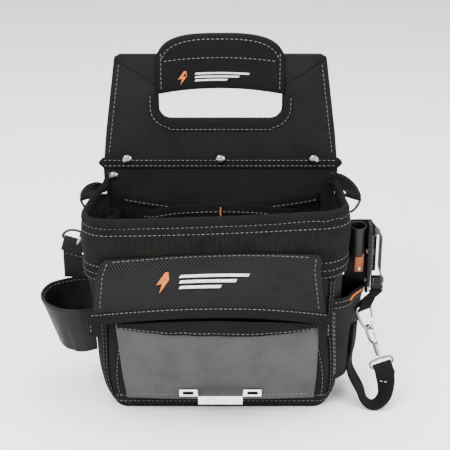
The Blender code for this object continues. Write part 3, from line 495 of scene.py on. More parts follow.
# ---------------------------------------------------------------- the body's outline
def half_width(z):
    tuck = 0.85 * max(0.0, 1 - z / TOE_HEIGHT) ** 2
    return RIM_HALF - SIDE_TAPER * (1 - min(z, RIM_Z) / RIM_Z) - TOE_TUCK * tuck


def plan(t, z, out=0.0):
    """A point of the outline at height z: t 0..1 left side from the back, 1..2 its corner, 2..3 front, 3..5 right."""
    side, k = (-1, t) if t <= 2.5 else (1, 5 - t)
    half = half_width(z)
    corner = CORNER - 0.015 * (1 - ease(z, 0.0, 0.11))
    centre_x, centre_y = half - corner, FRONT_Y + corner
    if k <= 1:
        back_half = SIDE_BACK_HALF - (RIM_HALF - half)
        x = back_half + (half - back_half) * k + out
        y = BACK_Y - GAP + (centre_y - BACK_Y + GAP) * k
    elif k <= 2:
        angle = (k - 1) * pi / 2
        x = centre_x + (corner + out) * cos(angle)
        y = centre_y - (corner + out) * sin(angle)
    else:
        x = centre_x * (1 - (k - 2) / 0.5)
        y = FRONT_Y - out - FRONT_BOW * (z / RIM_Z) * (1 - (x / centre_x) ** 2)
    return side * x, y


def rim_height(t):
    return RIM_Z + RIM_BACK_RISE * max(0.0, 1 - min(t, 5 - t))


def round_wall(u):
    """Even steps round the walls: u 0..1 to the outline's t."""
    lengths = (0.062, 0.044, 0.18, 0.044, 0.062)
    goal = u * sum(lengths)
    for i, length in enumerate(lengths):
        if goal <= length or i == 4:
            return min(5.0, i + goal / length)
        goal -= length
    return 5.0


def on_wall(t, z, out):
    """A point of the leaning pouch's wall, out from the outline."""
    ripple = 0.0
    if 0.06 < t < 4.94:
        fade = ease(min(t, 5 - t), 0.05, 0.5) * ease(z, 0.004, 0.04)
        ripple = crumple((t * 0.06, z * 0.8, 0.3), 28.0, 0.0011) * fade
    return slouch((*plan(t, z, out + ripple), z))


# ---------------------------------------------------------------- pieces
def make_walls():
    def wall(u, v):
        t = round_wall(u)
        z = BASE_T + GAP + (rim_height(t) - BASE_T - GAP) * v
        return on_wall(t, z, -WALL / 2)

    cloth(
        "body_walls", 130, 44, wall, WALL, BALLISTIC, "front_panel side_gusset_left side_gusset_right", round_edge=0
    )

    bottom = [on_wall(round_wall(u), 0.0, 0.0) for u in spread(0, 1, 90)]
    verts = [Vector((p.x, p.y, BASE_T / 2)) for p in bottom]
    uvs = [(p.x, p.y) for p in verts]
    base = build("base_cloth", verts, [tuple(range(len(verts)))], uvs, BALLISTIC, "base_panel", "pouch")
    thicken(base, BASE_T)
    round_edges(base, 0.0009)

    def band(u, v):
        t = round_wall(u)
        z = BAND_LOW + (BAND_HIGH - BAND_LOW) * v
        return on_wall(t, z, GAP + 0.0011 + 0.0009 * hump(v))

    cloth("ribbed_band_webbing", 130, 16, band, 0.0022, BAND_CLOTH, "ribbed_band")

    def hem(u, v):
        z = 0.1405 + 0.0172 * v
        return on_wall(round_wall(u), z, GAP + 0.0012 + 0.0009 * hump(v))

    cloth("band_hem_tape", 130, 8, hem, 0.0024, TAPE, "band_hem")
    for v in (0.1, 0.5, 0.93):
        sew(hem, row(v), 0.0014, count=260)

    def rim(u, v):
        t = round_wall(0.004 + 0.992 * u)
        outer, inner, drop = 0.0012, -WALL - 0.0008, 0.0125
        top = rim_height(t) + 0.0015
        legs = [
            (outer + 0.0004, -drop), (outer, -drop * 0.55), (outer + 0.0006, -0.0035), (outer - 0.0002, -0.0008)
        ]
        legs += [
            (-0.0012, 0.0012), (inner + 0.0006, -0.0008), (inner, -0.0035), (inner + 0.0002, -drop * 0.5),
            (inner + 0.0002, -drop * 0.9)
        ]
        out, fall = on_path(legs, v * (len(legs) - 1))
        return on_wall(t, top + fall, out + crumple((t * 0.06, v, 0.0), 60, 0.0005))

    cloth("rim_tape", 130, 16, rim, 0.0016, TAPE, "rim_binding", round_edge=0.3)
    sew(rim, row(0.13, 0.008, 0.984), 0.001, count=260)

    def under_rim(u, v):
        t = round_wall(u)
        return on_wall(t, 0.1893 + 0.004 * v, GAP + 0.003)

    sew(under_rim, row(0.5, 0.008, 0.984), 0.0006, count=260)

    for name, middle in (("left", 1.66), ("right", 3.34)):

        def piping(u, v, middle=middle):
            return on_wall(middle + 0.12 * (u - 0.5), 0.014 + 0.1262 * v, 0.0012 + 0.0008 * hump(u))

        cloth(f"corner_tape_{name}", 8, 60, piping, 0.0014, TAPE)
        for edge in (0.22, 0.78):
            sew(piping, column(edge), 0.0008, ("pouch", "faint"), count=60)
    for t in (1.985, 3.015):

        def seam(u, v, t=t):
            return on_wall(t + 0.004 * (u - 0.5), 0.012 + 0.128 * v, 0.0002)

        sew(seam, lambda s: (0.5, s), 0.0002, count=60)
    for z in (0.007, 0.0135):

        def toe(u, v, z=z):
            return on_wall(round_wall(u), z + 0.004 * (v - 0.5), 0.0)

        sew(toe, row(0.5, 0.02, 0.96), 0.0003, count=240)


# The back panel
PANEL_EDGE = [(0.0, 0.104), (0.008, 0.112), (0.03, 0.1155), (0.12, 0.1165), (WELT_Z, 0.119), (PANEL_TOP, 0.104)]
GRIP_HALF, GRIP_BOTTOM, GRIP_SAG, GRIP_T = 0.062, 0.3075, 0.006, 0.0022
OPENING_HALF, OPENING_FLOOR = 0.0626, 0.2745


def panel_half(z):
    for (z0, x0), (z1, x1) in zip(PANEL_EDGE, PANEL_EDGE[1:]):
        if z <= z1:
            return x0 + (x1 - x0) * (z - z0) / (z1 - z0)
    return PANEL_EDGE[-1][1]


def arch_top(x):
    return 0.3244 + 0.0362 * max(0.0, 1 - (abs(x) / 0.0638) ** 3) ** (1 / 3)


def grip_bottom(x):
    return GRIP_BOTTOM - GRIP_SAG * (x / GRIP_HALF) ** 2


def panel_bow(x, z):
    """The back panel isn't quite flat: shallow waves, none where the welt and its rivets hold it."""
    free = ease(abs(z - WELT_Z), 0.012, 0.045)
    return crumple((x, z, 0.0), 16.0, 0.0016, 3.0) * free


def panel_piece(name, nu, nv, flat, nodes=""):
    """Part of the back panel, where flat(u, v) gives x and z: cloth in front and behind, closed at the edges."""
    middle, thickness = (BACK_Y + BACK_REAR) / 2, BACK_REAR - BACK_Y

    def place(u, v):
        x, z = flat(u, v)
        return Vector((x, middle + min(0.0, panel_bow(x, z)) * 0.5, z))

    obj = cloth(name, nu, nv, place, thickness, PANEL_CLOTH, nodes, round_edge=0.3)
    layer = obj.data.uv_layers["weave"].data
    for loop in obj.data.loops:
        point = obj.data.vertices[loop.vertex_index].co
        layer[loop.index].uv = (point.x + 0.2, point.z)


def opening_line():
    """The hand opening's edge, from its upper left corner down and round to its upper right one."""
    radius = 0.013
    inset, centre_z = OPENING_HALF - radius, OPENING_FLOOR + radius
    line = [(-OPENING_HALF, 0.31), (-OPENING_HALF, centre_z)]
    line += arc((-inset, centre_z), radius, 180, 270, 6)[1:]
    line += arc((inset, centre_z), radius, 270, 360, 6)
    return line + [(OPENING_HALF, 0.31)]


def upper_line():
    """The upper panel's outer edge: down its left side, along the welt and up its right side."""
    left = [(-panel_half(z), z) for z in (PANEL_TOP, 0.262)]
    right = [(panel_half(z), z) for z in (0.262, PANEL_TOP)]
    return left + [(x, WELT_Z) for x in (-0.118, -0.09, 0.09, 0.118)] + right


def along(points, s):
    """The point at share s of a polyline's length."""
    lengths = [0.0]
    for (ax, az), (bx, bz) in zip(points, points[1:]):
        lengths.append(lengths[-1] + hypot(bx - ax, bz - az))
    goal = s * lengths[-1]
    for i in range(len(points) - 1):
        if goal <= lengths[i + 1] or i == len(points) - 2:
            k = (goal - lengths[i]) / max(1e-9, lengths[i + 1] - lengths[i])
            return tuple(a + (b - a) * k for a, b in zip(points[i], points[i + 1]))
    return points[-1]


def make_back():
    def lower(u, v):
        z = WELT_Z * v
        return (2 * u - 1) * panel_half(z), z

    panel_piece("back_panel_cloth", 60, 50, lower, "back_panel front_facing back_stiffener")

    inner, outer = opening_line(), upper_line()

    def upper(u, v):
        (ax, az), (bx, bz) = along(inner, u), along(outer, u)
        return bx + (ax - bx) * v, bz + (az - bz) * v

    # The part above the welt runs round the hand opening; its top corners sit beside the grip.
    panel_piece("back_panel_upper", 96, 16, upper)
    for side in (-1, 1):

        def corner(u, v, side=side):
            top = 0.3405 - 0.003 * ease(u, 0.86, 1.0)
            low = 0.31 + (PANEL_TOP - 0.31) * u
            x = OPENING_HALF + (panel_half(PANEL_TOP) - OPENING_HALF) * u
            return side * x, low + (top - low) * v

        panel_piece(f"back_panel_shoulder_{'left' if side < 0 else 'right'}", 16, 8, corner)

    def edge_row(low, high, side, facing):
        y = BACK_Y - 0.0001 if facing is FORWARD else BACK_REAR + 0.0001
        line = []
        for z in spread(low, high, 60):
            x = side * (panel_half(z) - 0.0055)
            bow = min(0.0, panel_bow(x, z)) * 0.5
            line.append(Vector((x, y + bow, z)))
        stitch(line, facing)

    for side in (-1, 1):
        edge_row(0.212, 0.224, side, FORWARD)
        edge_row(0.2405, 0.335, side, FORWARD)
        edge_row(0.014, 0.335, side, BACKWARD)
        rear = [Vector((side * x, BACK_REAR + 0.0001, 0.335)) for x in spread(0.0665, 0.0985, 12)]
        stitch(rear, BACKWARD)

    def welt(u, v):
        x = (2 * u - 1) * 0.1228
        half = 0.0062 * sqrt(max(0.02, 1 - max(0.0, (abs(x) - 0.115) / 0.008) ** 2))
        angle = 2 * pi * v
        depth = 0.0011 + 0.0004 * abs(sin(angle))
        return Vector((x, BACK_Y - GAP - 0.0012 - depth * cos(angle) * 0.8, 0.2306 + half * sin(angle)))

    tube_cloth("welt_tape", 70, 20, welt, TAPE, "welt_strip")
    for z in (0.2276, 0.2334):
        stitch([Vector((x, BACK_Y - GAP - 0.0021, z)) for x in spread(-0.1185, 0.1185, 120)], FORWARD)

    # The binding wraps the opening's edge from the front face round to the rear one.
    def bound(u, v):
        path = [(-OPENING_HALF, 0.301), *inner[1:-1], (OPENING_HALF, 0.301)]
        x, z = along(path, u)
        ax, az = along(path, max(0.0, u - 0.012))
        bx, bz = along(path, min(1.0, u + 0.012))
        length = hypot(bx - ax, bz - az)
        nx, nz = (bz - az) / length, -(bx - ax) / length
        deep = 0.011 if abs(x) < 0.05 else 0.0085
        front = [(deep, 0.001), (deep * 0.5, 0.0014), (0.001, 0.0012), (-0.001, -0.001)]
        section = [(out, BACK_Y - proud) for out, proud in front]
        section += [(-0.0012, (BACK_Y + BACK_REAR) / 2)]
        section += [(out, BACK_REAR + proud) for out, proud in reversed(front)]
        out, y = on_path(section, v * (len(section) - 1))
        return Vector((x + nx * out, y, z + nz * out))

    cloth("opening_tape", 110, 24, bound, 0.0012, TAPE, "opening_binding")
    sew(bound, lambda s: (s, 0.045), 0.0007, count=120)

    # The grip: a sleeve wrapped round the bar above the opening.
    front_y, rear_y = BACK_Y - GAP - GRIP_T, BACK_REAR + GAP + GRIP_T

    def grip(u, v):
        x = (2 * u - 1) * 0.063
        end = 1 - ease(abs(x), 0.056, 0.0635) * 0.16
        low, high = grip_bottom(x) - 0.0006, arch_top(min(abs(x), 0.0622)) + 0.0004
        middle_z, half_z = (low + high) / 2, (high - low) / 2
        middle_y, half_y = (front_y + rear_y) / 2, (rear_y - front_y) / 2 * end
        angle = 2 * pi * v
        c, s = cos(angle), sin(angle)
        z = middle_z + half_z * copysign(abs(s) ** 0.38, s)
        y = middle_y - (half_y + 0.0009 * abs(c) ** 2) * copysign(abs(c) ** 0.3, c)
        y += crumple((x, z, 0.1), 55.0, 0.0006) * (1 if c < 0 else -1)
        return Vector((x, y, z))

    tube_cloth("handle_grip_cloth", 72, 44, grip, SMOOTH_BLACK, "handle_grip")
    y = front_y - 0.001

    def on_grip(points):
        stitch([Vector((px, y, pz)) for px, pz in points], FORWARD)

    on_grip([(x, arch_top(x / 0.93) - 0.004) for x in spread(-0.0575, 0.0575, 90)])
    on_grip([(x, 0.3345 + 0.004 * (1 - (x / 0.056) ** 2)) for x in spread(-0.056, 0.056, 60)])
    for side in (-1, 1):
        on_grip([(side * 0.0582, z) for z in spread(grip_bottom(0.0582) + 0.004, arch_top(0.0582) - 0.003, 20)])

    def tunnel(u, v):
        z = 0.119 + 0.097 * v
        k = abs(z - 0.1675) / 0.0485
        return Vector((0.058 * (2 * u - 1), BACK_REAR + GAP + 0.0011 + 0.0085 * max(0.0, 1 - k**4), z))

    cloth("belt_tunnel_webbing", 20, 40, tunnel, 0.0024, STRAP_CLOTH, "belt_tunnel")
    for v in (0.022, 0.052, 0.948, 0.978):
        sew(tunnel, row(v, 0.03, 0.94), 0.0014, side=-1, count=60)


def make_inside():
    def back_pocket(u, v):
        a = 2 * u - 1
        top = 0.19 + 0.0085 * a * a
        y = BACK_Y - 0.0012 - 0.0085 * (1 - a * a) * (0.55 + 0.45 * v)
        y += crumple((a * 0.1, v * 0.1, 0.4), 22.0, 0.001) * (1 - a * a)
        return Vector((0.101 * a, y, 0.06 + (top - 0.06) * v))

    cloth("inner_back_pocket_cloth", 50, 24, back_pocket, 0.0012, LINING, "inner_back_pocket")

    def back_rim(u, v):
        p = back_pocket(0.004 + 0.992 * u, 0.93 + 0.07 * v)
        return p + Vector((0, -0.0012, 0.0014 * v))

    cloth("inner_back_pocket_tape", 60, 3, back_rim, 0.001, TAPE)
    sew(back_rim, row(0.3), 0.0006, count=100)

    right = [(0.035, 0.011, 0), (0.066, 0.017, 0), (0.078, 0.029, 0)]
    path = smooth_run([(-x, y, z) for x, y, z in reversed(right)] + [(0.0, 0.009, 0)] + right)

    def divider(u, v):
        p = path(u)
        top = 0.1965 - 0.013 * (abs(p.x) / 0.078) ** 2.5
        wave = crumple((p.x, v * 0.08, 1.0), 30.0, 0.0016) * (1 - ease(abs(p.x), 0.06, 0.078))
        return Vector((p.x, p.y + wave, 0.06 + (top - 0.06) * v))

    cloth("divider_pocket_cloth", 70, 20, divider, 0.0014, LINING, "divider_pocket")

    def divider_rim(u, v):
        u = 0.004 + 0.992 * u
        return divider(u, 0.925 + 0.075 * v) + normal_at(divider, u, 0.96) * 0.0013 + Vector((0, 0, 0.0014 * v))

    cloth("divider_pocket_tape", 70, 3, divider_rim, 0.001, TAPE)
    sew(divider_rim, row(0.25), 0.0006, count=90)
    bar = [Vector((0.0009 * (i % 2) - 0.0004, 0.0077, z)) for i, z in enumerate(spread(0.179, 0.1945, 20))]
    stitch(bar, FORWARD, ("pouch", "orange"), length=0.0016, gap=0.0001, radius=0.0005)

    bow = [(-0.1128, 0.022, 0), (-0.105, 0.0185, 0), (-0.1025, 0.01, 0), (-0.106, 0.001, 0), (-0.114, -0.003, 0)]
    bow = smooth_run(bow)

    def elastic(u, v):
        p = bow(u)
        return Vector((p.x, p.y, 0.164 + 0.024 * v))

    cloth("elastic_loop_webbing", 30, 8, elastic, 0.0012, STRAP_CLOTH, "elastic_tool_loop")
    board = frame["nodes"]["base_board"]
    board.data.materials.clear()
    board.data.materials.append(BOARD_CLOTH)


# The front pocket and the flap
POCKET_HALF, POCKET_FLOOR = 0.0955, 0.0195


def pocket_point(a, v, out=0.0):
    """The grey pocket's front: a from -1 to 1 across it, v from 0 at its floor to 1 at its mouth."""
    half = POCKET_HALF - 0.0035 * (1 - max(v, 0.0))
    crown = max(0.0, 1 - abs(a) ** 2.2)
    depth = 0.0125 + (0.004 * (1 - v) + 0.023 * v) * crown
    top = 0.1 + 0.013 * (1 - a * a)
    z = POCKET_FLOOR + (top - POCKET_FLOOR) * max(v, 0.0)
    y = FRONT_Y - depth - out
    if v < 0:
        inner = FRONT_Y - 0.001
        depth = 0.0125 + 0.004 * crown
        y = FRONT_Y - depth + (inner - FRONT_Y + depth) * -v
        z = POCKET_FLOOR + 0.0018 * -v
    return Vector((half * a, y, z))


def pocket_cloth_point(a, v, out=0.0):
    spot = (a * 0.095, v * 0.09, 0.0)
    fold = crumple(spot, 24.0, 0.0026, 5.0) + crumple(spot, 60.0, 0.0009, 2.0)
    held = ease(abs(a), 1.0, 0.8) * ease(v, 0.3, 0.55)
    pull = 0.003 * exp(-(((a * 0.95 + 0.32) / 0.1) ** 2)) * ease(v, 0.2, 0.6) * ease(v, 1.0, 0.85)
    return slouch(pocket_point(a, v, out + fold * held - pull * held))


def make_front_pocket():
    def grey(u, v):
        return pocket_cloth_point(2 * u - 1, -1 + v * 2 if v < 0.5 else (v - 0.5) * 2)

    cloth("grey_pocket_cloth", 90, 60, grey, 0.0016, GREY_CLOTH, "grey_pocket_front")
    sew(grey, row(0.525, 0.03, 0.94), 0.0009, count=110)

    def mouth(u, v):
        a = (2 * u - 1) * 0.985
        low = 0.835 + 0.13 * abs(a) ** 2.6
        p = pocket_cloth_point(a, low + (1 - low) * v, 0.003)
        return p + Vector((0, 0, 0.0014 * v))

    cloth("pocket_mouth_tape", 90, 8, mouth, 0.0013, TAPE, "pocket_binding")
    sew(mouth, row(0.2), 0.0008, count=110)
    for name, side in (("left", -1), ("right", 1)):

        def gusset(u, v, side=side):
            edge = pocket_point(side, v, -0.0013)
            inner = plan(2.0, edge.z, 0.0006)[1]
            y = edge.y + (inner - edge.y) * u
            puff = 0.0008 * hump(u)
            return slouch((edge.x - side * (0.0008 - puff), y, edge.z + 0.0022 * (1 - v)))

        cloth(f"pocket_gusset_{name}_cloth", 8, 30, gusset, 0.0012, BALLISTIC, f"pocket_gusset_{name}")


FLAP_CENTRE = smooth_run([(0, -0.057, 0.1702), (0, -0.068, 0.16), (0, -0.081, 0.144), (0, -0.088, 0.1262)])
FLAP_EDGE = smooth_run([(0, -0.0564, 0.167), (0, -0.0585, 0.149), (0, -0.0612, 0.129), (0, -0.063, 0.1072)])


def flap_point(a, s, out=0.0):
    """The flap: a from -1 to 1 across it, s from 0 at its sewn edge to 1 at its free edge."""
    crown = max(0.0, 1 - abs(a) ** 2.2)
    p = FLAP_EDGE(s).lerp(FLAP_CENTRE(s), crown)
    half = 0.098 + 0.006 * s - 0.0035 * (1 - ease(s, 0.0, 0.08))
    half += 0.007 * ease(-a, 0.0, 1.0)
    puff = 0.001 * crown * hump(s) + crumple((a * 0.1, s * 0.06, 0.0), 30.0, 0.001, 7.0) * crown
    p = p + Vector((half * a, -out - puff, (out + puff) * 0.35))
    return slouch(p) + Vector((-0.003 * ease(s, 0.0, 0.35), 0, 0))


def make_flap():
    def flap(u, v):
        return flap_point(2 * u - 1, v)

    cloth("flap_cloth", 90, 36, flap, 0.0026, BALLISTIC, "flap", body="flap", round_edge=0.4)
    key = ("flap", "pale")
    sew(flap, row(0.055, 0.04, 0.92), 0.0015, key, side=-1, count=120)
    for u in (0.028, 0.972):
        sew(flap, column(u, 0.07, 0.86), 0.0015, key, side=-1, count=50)

    def trim(u, v):
        a = (2 * u - 1) * 1.05
        crown = max(0.0, 1 - abs(min(1, max(-1, a))) ** 2.2)
        top = flap_point(a, 0.95, 0.0024)
        edge = flap_point(a, 1.0, 0.003)
        low = edge + Vector((0, 0.001 + 0.0026 * crown, -0.0086))
        if v < 0.35:
            return top.lerp(edge, v / 0.35)
        k = (v - 0.35) / 0.65
        roll = Vector((0, -0.0016 * hump(k), 0))
        return edge.lerp(low, k) + roll

    cloth("flap_edge_tape", 100, 14, trim, 0.0016, TAPE, "flap_trim", body="flap", round_edge=0.4)
    sew(trim, row(0.14), 0.0009, key, side=-1, count=130)
    for side in (-1, 1):

        def tail(u, v, side=side):
            a = side * (0.95 + 0.098 * u)
            start = flap_point(a, 1.0, 0.0018) + Vector((0, 0.0004, -0.006))
            end = Vector((start.x, -0.0655, 0.087 + 0.001 * u))
            return start.lerp(end, v) + Vector((0, -0.001 * hump(v), 0))

        name = f"flap_tail_{'left' if side < 0 else 'right'}"
        cloth(name, 8, 16, tail, 0.0014, TAPE, body="flap", round_edge=0.4)
        sew(tail, column(0.8, 0.05, 0.88), 0.0008, key, side=-side, count=20)


# Plain embroidered marks: a bolt and short bars, on the grip and on the flap
def mark(name, outline, put, mat, body):
    """A low raised patch: outline is in millimetres, and put(x, y) gives its place on the cloth."""
    bm = bmesh.new()
    face = bm.faces.new([bm.verts.new((x, y, 0)) for x, y in outline])
    bmesh.ops.triangulate(bm, faces=[face])
    for _ in range(3):
        bmesh.ops.subdivide_edges(bm, edges=[e for e in bm.edges if e.calc_length() > 1.6], cuts=1)
        bmesh.ops.triangulate(bm, faces=[f for f in bm.faces if len(f.verts) > 3])
    verts = [put(v.co.x, v.co.y) for v in bm.verts]
    bm.verts.index_update()
    faces = [tuple(v.index for v in f.verts) for f in bm.faces]
    uvs = [(v.co.x / 1000, v.co.y / 1000) for v in bm.verts]
    bm.free()
    thicken(build(name, verts, faces, uvs, mat, "", body), 0.0007)


BOLT = [(1.5, 7.0), (-4.5, -1.2), (-0.6, -0.8), (-2.2, -7.0), (4.4, 1.6), (0.4, 1.1), (3.6, 7.0)]
BARS = [(12.0, 2.6, 66.0, 4.4), (12.0, -0.9, 56.0, 0.9), (12.0, -4.4, 44.0, -2.6)]


def make_marks():
    def on_flap(x, y):
        return flap_point((x - 47.0) / 103.0, 0.52 - y / 52.0, 0.0022)

    def on_grip(x, y):
        z = 0.32 + y * 0.00095 - 0.0000012 * (x - 37.0) ** 2
        return Vector(((x - 37.0) / 1000, BACK_Y - GAP - GRIP_T - 0.0013, z))

    for name, put, body, size in (("flap", on_flap, "flap", 1.25), ("grip", on_grip, "pouch", 1.0)):
        mark(f"{name}_bolt", [(x * size, y * size) for x, y in BOLT], put, ORANGE_THREAD, body)
        for i, (x0, y0, x1, y1) in enumerate(BARS):
            corners = [(x0, y0), (x1, y0), (x1 + 1.2, y1), (x0 + 1.2, y1)]
            mark(f"{name}_bar_{i + 1}", [(x * size * 0.98, y * size) for x, y in corners], put, BRIGHT_THREAD, body)


# The left side
def make_left():
    outline = [(-0.1165, -0.0405), (-0.136, -0.0465), (-0.157, -0.0425), (-0.1735, -0.025), (-0.1775, -0.003)]
    outline += [(-0.1715, 0.017), (-0.156, 0.03), (-0.138, 0.0355), (-0.1205, 0.0365)]
    outline = smooth_run([(x, y, 0) for x, y in outline])

    def loop(u, v):
        p = outline(u)
        x = -0.1165 + (p.x + 0.1165) * (0.66 + 0.27 * v)
        crease = 0.003 * exp(-(((u - 0.23) / 0.035) ** 2)) * ease(v, 1.0, 0.2)
        sag = crumple((u * 0.2, v * 0.05, 0.0), 14.0, 0.0022, 4.0) * hump(u)
        z = 0.061 + 0.0455 * v + 0.0025 * hump(u) * v
        return slouch((x + crease + sag, p.y - sag * 0.6, z))

    cloth("holster_loop_leather", 90, 24, loop, 0.0026, BLACK_LEATHER, "holster_loop", round_edge=0.45)
    sew(loop, row(0.93, 0.3, 0.68), 0.0014, count=90)
    for v in (0.93, 0.06):
        sew(loop, row(v, 0.02, 0.96), 0.0014, ("pouch", "dull"), side=-1, count=110)
    for u in (0.035, 0.06):
        sew(loop, column(u, 0.08, 0.84), 0.0014, ("pouch", "dull"), side=-1, count=20)

    def plate(u, v):
        x = -0.163 + 0.043 * u
        top = 0.14 - 0.013 * u
        return Vector((x, 0.0295 + crumple((x, v * 0.03, 0.0), 60, 0.0005), 0.1085 + (top - 0.1085) * v))

    cloth("holster_back_leather", 16, 12, plate, 0.002, BLACK_LEATHER, "holster_back", round_edge=0.45)
    sew(plate, row(0.9, 0.05, 0.9), 0.0011, count=30)

    turn = radians(17)
    bar_dir = Vector((cos(turn), 0, -sin(turn)))
    down = Vector((-sin(turn), 0, -cos(turn)))
    bar = Vector((-0.1505, 0.0295, 0.1492))
    folded("holster_tab_leather", bar, bar_dir, down, 0.0125, 0.0112, 0.0014, "holster_tab")

    run = [(-0.1234, 0.188), (-0.129, 0.18), (-0.136, 0.171), (-0.1405, 0.1655)]
    run = smooth_run([(x, 0.01, z) for x, z in run])
    heading = (run(1.0) - run(0.97)).normalized()
    bar = Vector((-0.13967, 0.01, 0.16352))
    side = Vector((-heading.z, 0, heading.x))
    turns = [bar + (side * -cos(a) + heading * sin(a)) * 0.0019 for a in spread(0, pi, 8)]
    start = [run(s) for s in (0, 0.25, 0.5, 0.75)] + [turns[0] - heading * 0.0012]
    line = smooth_run(start + turns + [turns[-1] - heading * 0.004])
    half_strap = Vector((0, 0.0036, 0))
    strap("side_strap_webbing", line, lambda s: half_strap, 0.0012, STRAP_CLOTH, 50, nodes="side_strap_left")


def folded(name, bar, bar_dir, strap_dir, length, half, wire_radius, node):
    """A leather strap folded round a bar, its two legs sewn together beyond it."""
    thickness = 0.0016
    away = wire_radius + GAP + thickness / 2
    normal = bar_dir.cross(strap_dir).normalized()
    points = [bar + normal * away * k + strap_dir * length * m for k, m in ((0.95, 1.0), (0.95, 0.6), (1.0, 0.25))]
    points += [bar + normal * away * cos(a) - strap_dir * away * sin(a) for a in spread(0, pi, 9)]
    points += [bar - normal * away * k + strap_dir * length * m for k, m in ((1.0, 0.25), (0.95, 0.6), (0.95, 1.0))]
    line = smooth_run(points)
    more = {"nodes": node, "round_edge": 0.4}
    _, place = strap(name, line, lambda s: bar_dir * half, thickness, BLACK_LEATHER, 60, **more)
    for v in (0.16, 0.84):
        sew(place, row(v, 0.01, 0.26), thickness / 2, count=14)


def make_upper_tab(side):
    """A webbing tab from the back panel over the rim to a D ring, in the frame's place at both ends."""
    name = "left" if side < 0 else "right"
    bar, bar_dir = joint_line(f"upper_ring_{name}_swing")
    points = [(0.1095, 0.0362, 0.215), (0.117, 0.0316, 0.2158), (0.1262, 0.025, 0.2122), (0.1335, 0.02, 0.2052)]
    if side < 0:
        points = [
            (0.119, 0.038, 0.2032), (0.1232, 0.0335, 0.2058), (0.1288, 0.0262, 0.207), (0.1336, 0.0204, 0.2052)
        ]
    run = smooth_run([(side * x, y, z) for x, y, z in points])
    heading = (run(1.0) - run(0.9)).normalized()
    heading = (heading - bar_dir * heading.dot(bar_dir)).normalized()
    normal = bar_dir.cross(heading).normalized()
    normal = normal if normal.z > 0 else -normal
    away = 0.0014 + GAP + 0.0008
    turns = [bar + normal * away * cos(a) + heading * away * sin(a) for a in spread(0, pi, 9)]
    line = smooth_run([run(s) for s in (0, 0.2, 0.4, 0.6, 0.8, 0.95)] + turns + [turns[-1] - heading * 0.004])
    root, end = 0.0074, 0.007

    def half(s):
        k = ease(s, 0.04, 0.5)
        across = Vector((side * (0.45 if side > 0 else 0.2), -0.3, 0.85)).lerp(bar_dir, k).normalized()
        return across * (root + (end - root) * k)

    more = {"nodes": f"upper_tab_{name}", "round_edge": 0.4}
    _, place = strap(f"upper_tab_{name}_webbing", line, half, 0.0018, STRAP_CLOTH, 60, **more)
    for v in (0.12, 0.88):
        sew(place, row(v, 0.02, 0.42), 0.0009, ("pouch", "dull"), side=side, count=24)


# The right side
def make_right():
    def hanger(u, v):
        z = 0.103 + 0.0775 * v
        front = -0.012 + 0.0145 * (1 - ease(z, 0.114, 0.116)) + 0.004 * ease(z, 0.174, 0.1805) ** 2
        y = front + (0.01 - 0.004 * ease(z, 0.174, 0.1805) ** 2 - front) * u
        return Vector((0.149 + crumple((y, z, 0), 40, 0.0004), y, z))

    def backing(u, v):
        x = 0.1262 + 0.0318 * u
        corner = 0.005 * ease(u, 0.8, 1.0) ** 2
        low = 0.106 + 0.018 * ease(u, 0.8, 0.86)
        high = 0.18 - 0.0035 * ease(u, 0.8, 0.86) - corner - 0.003 * ease(u, 0.16, 0.0)
        z = low + (high - low) * v
        return Vector((x, 0.0108 + crumple((x, z, 0.0), 45, 0.0006) - 0.0012 * ease(u, 0.3, 0.0), z))

    cloth("hanger_backing_leather", 30, 50, backing, 0.0022, BLACK_LEATHER, round_edge=0.4)
    for u in (0.66, 0.94):
        sew(backing, column(u, 0.06, 0.88), 0.0013, ("pouch", "faint"), count=50)
    cloth("hanger_leather", 14, 60, hanger, 0.003, BLACK_LEATHER, "hanger_strap", round_edge=0.4)
    for face in (-1, 1):
        sew(hanger, column(0.1, 0.3, 0.66), 0.0016, side=face, count=40)

    def tube(u, v):
        angle = 2 * pi * v
        section = [(0.0071, 0.0168), (0.0075, 0.0178), (0.0082, 0.0178), (0.0085, 0.0168)]
        section += [(0.0083, 0.01), (0.0083, -0.01), (0.0085, -0.0168), (0.0082, -0.0177)]
        section += [(0.0075, -0.0177), (0.007, -0.0168), (0.0068, -0.01), (0.0068, 0.01)]
        r, z = on_path([*section, section[0]], u * len(section))
        z *= 0.9
        x = 0.1374 - z * 0.05 + r * cos(angle)
        y = -0.0014 - z * 0.16 + r * sin(angle)
        return Vector((x, y, 0.1634 + z + r * sin(angle) * 0.16))

    tube_cloth("pen_tube_leather", 36, 40, tube, SHINY_LEATHER, "pen_tube", caps=False)

    def tan(u, v):
        y = -0.0035 - 0.0006 * hump(u) - 0.002 * v
        return Vector((0.1349 + 0.0088 * u, y, 0.1292 + 0.0206 * v))

    cloth("tube_tab_leather", 10, 12, tan, 0.002, ORANGE_LEATHER, "tube_tab", round_edge=0.4)
    rect_bar, right = Vector((0.1585, -0.001, 0.1117)), Vector((1, 0, 0))
    folded("ring_tab_leather", rect_bar, right, Vector((0, 0, 1)), 0.0115, 0.006, 0.001, "ring_tab")
    make_webbing(rect_bar - Vector((0, 0, 0.0062)), right)
    make_tape_strap()
    make_side_pocket()


def joint_line(name):
    joint = next(j for j in frame["record"]["behaviour"]["joints"] if j["name"] == name)
    return Vector(joint["pos_m"]), Vector(joint["axis"]).normalized()


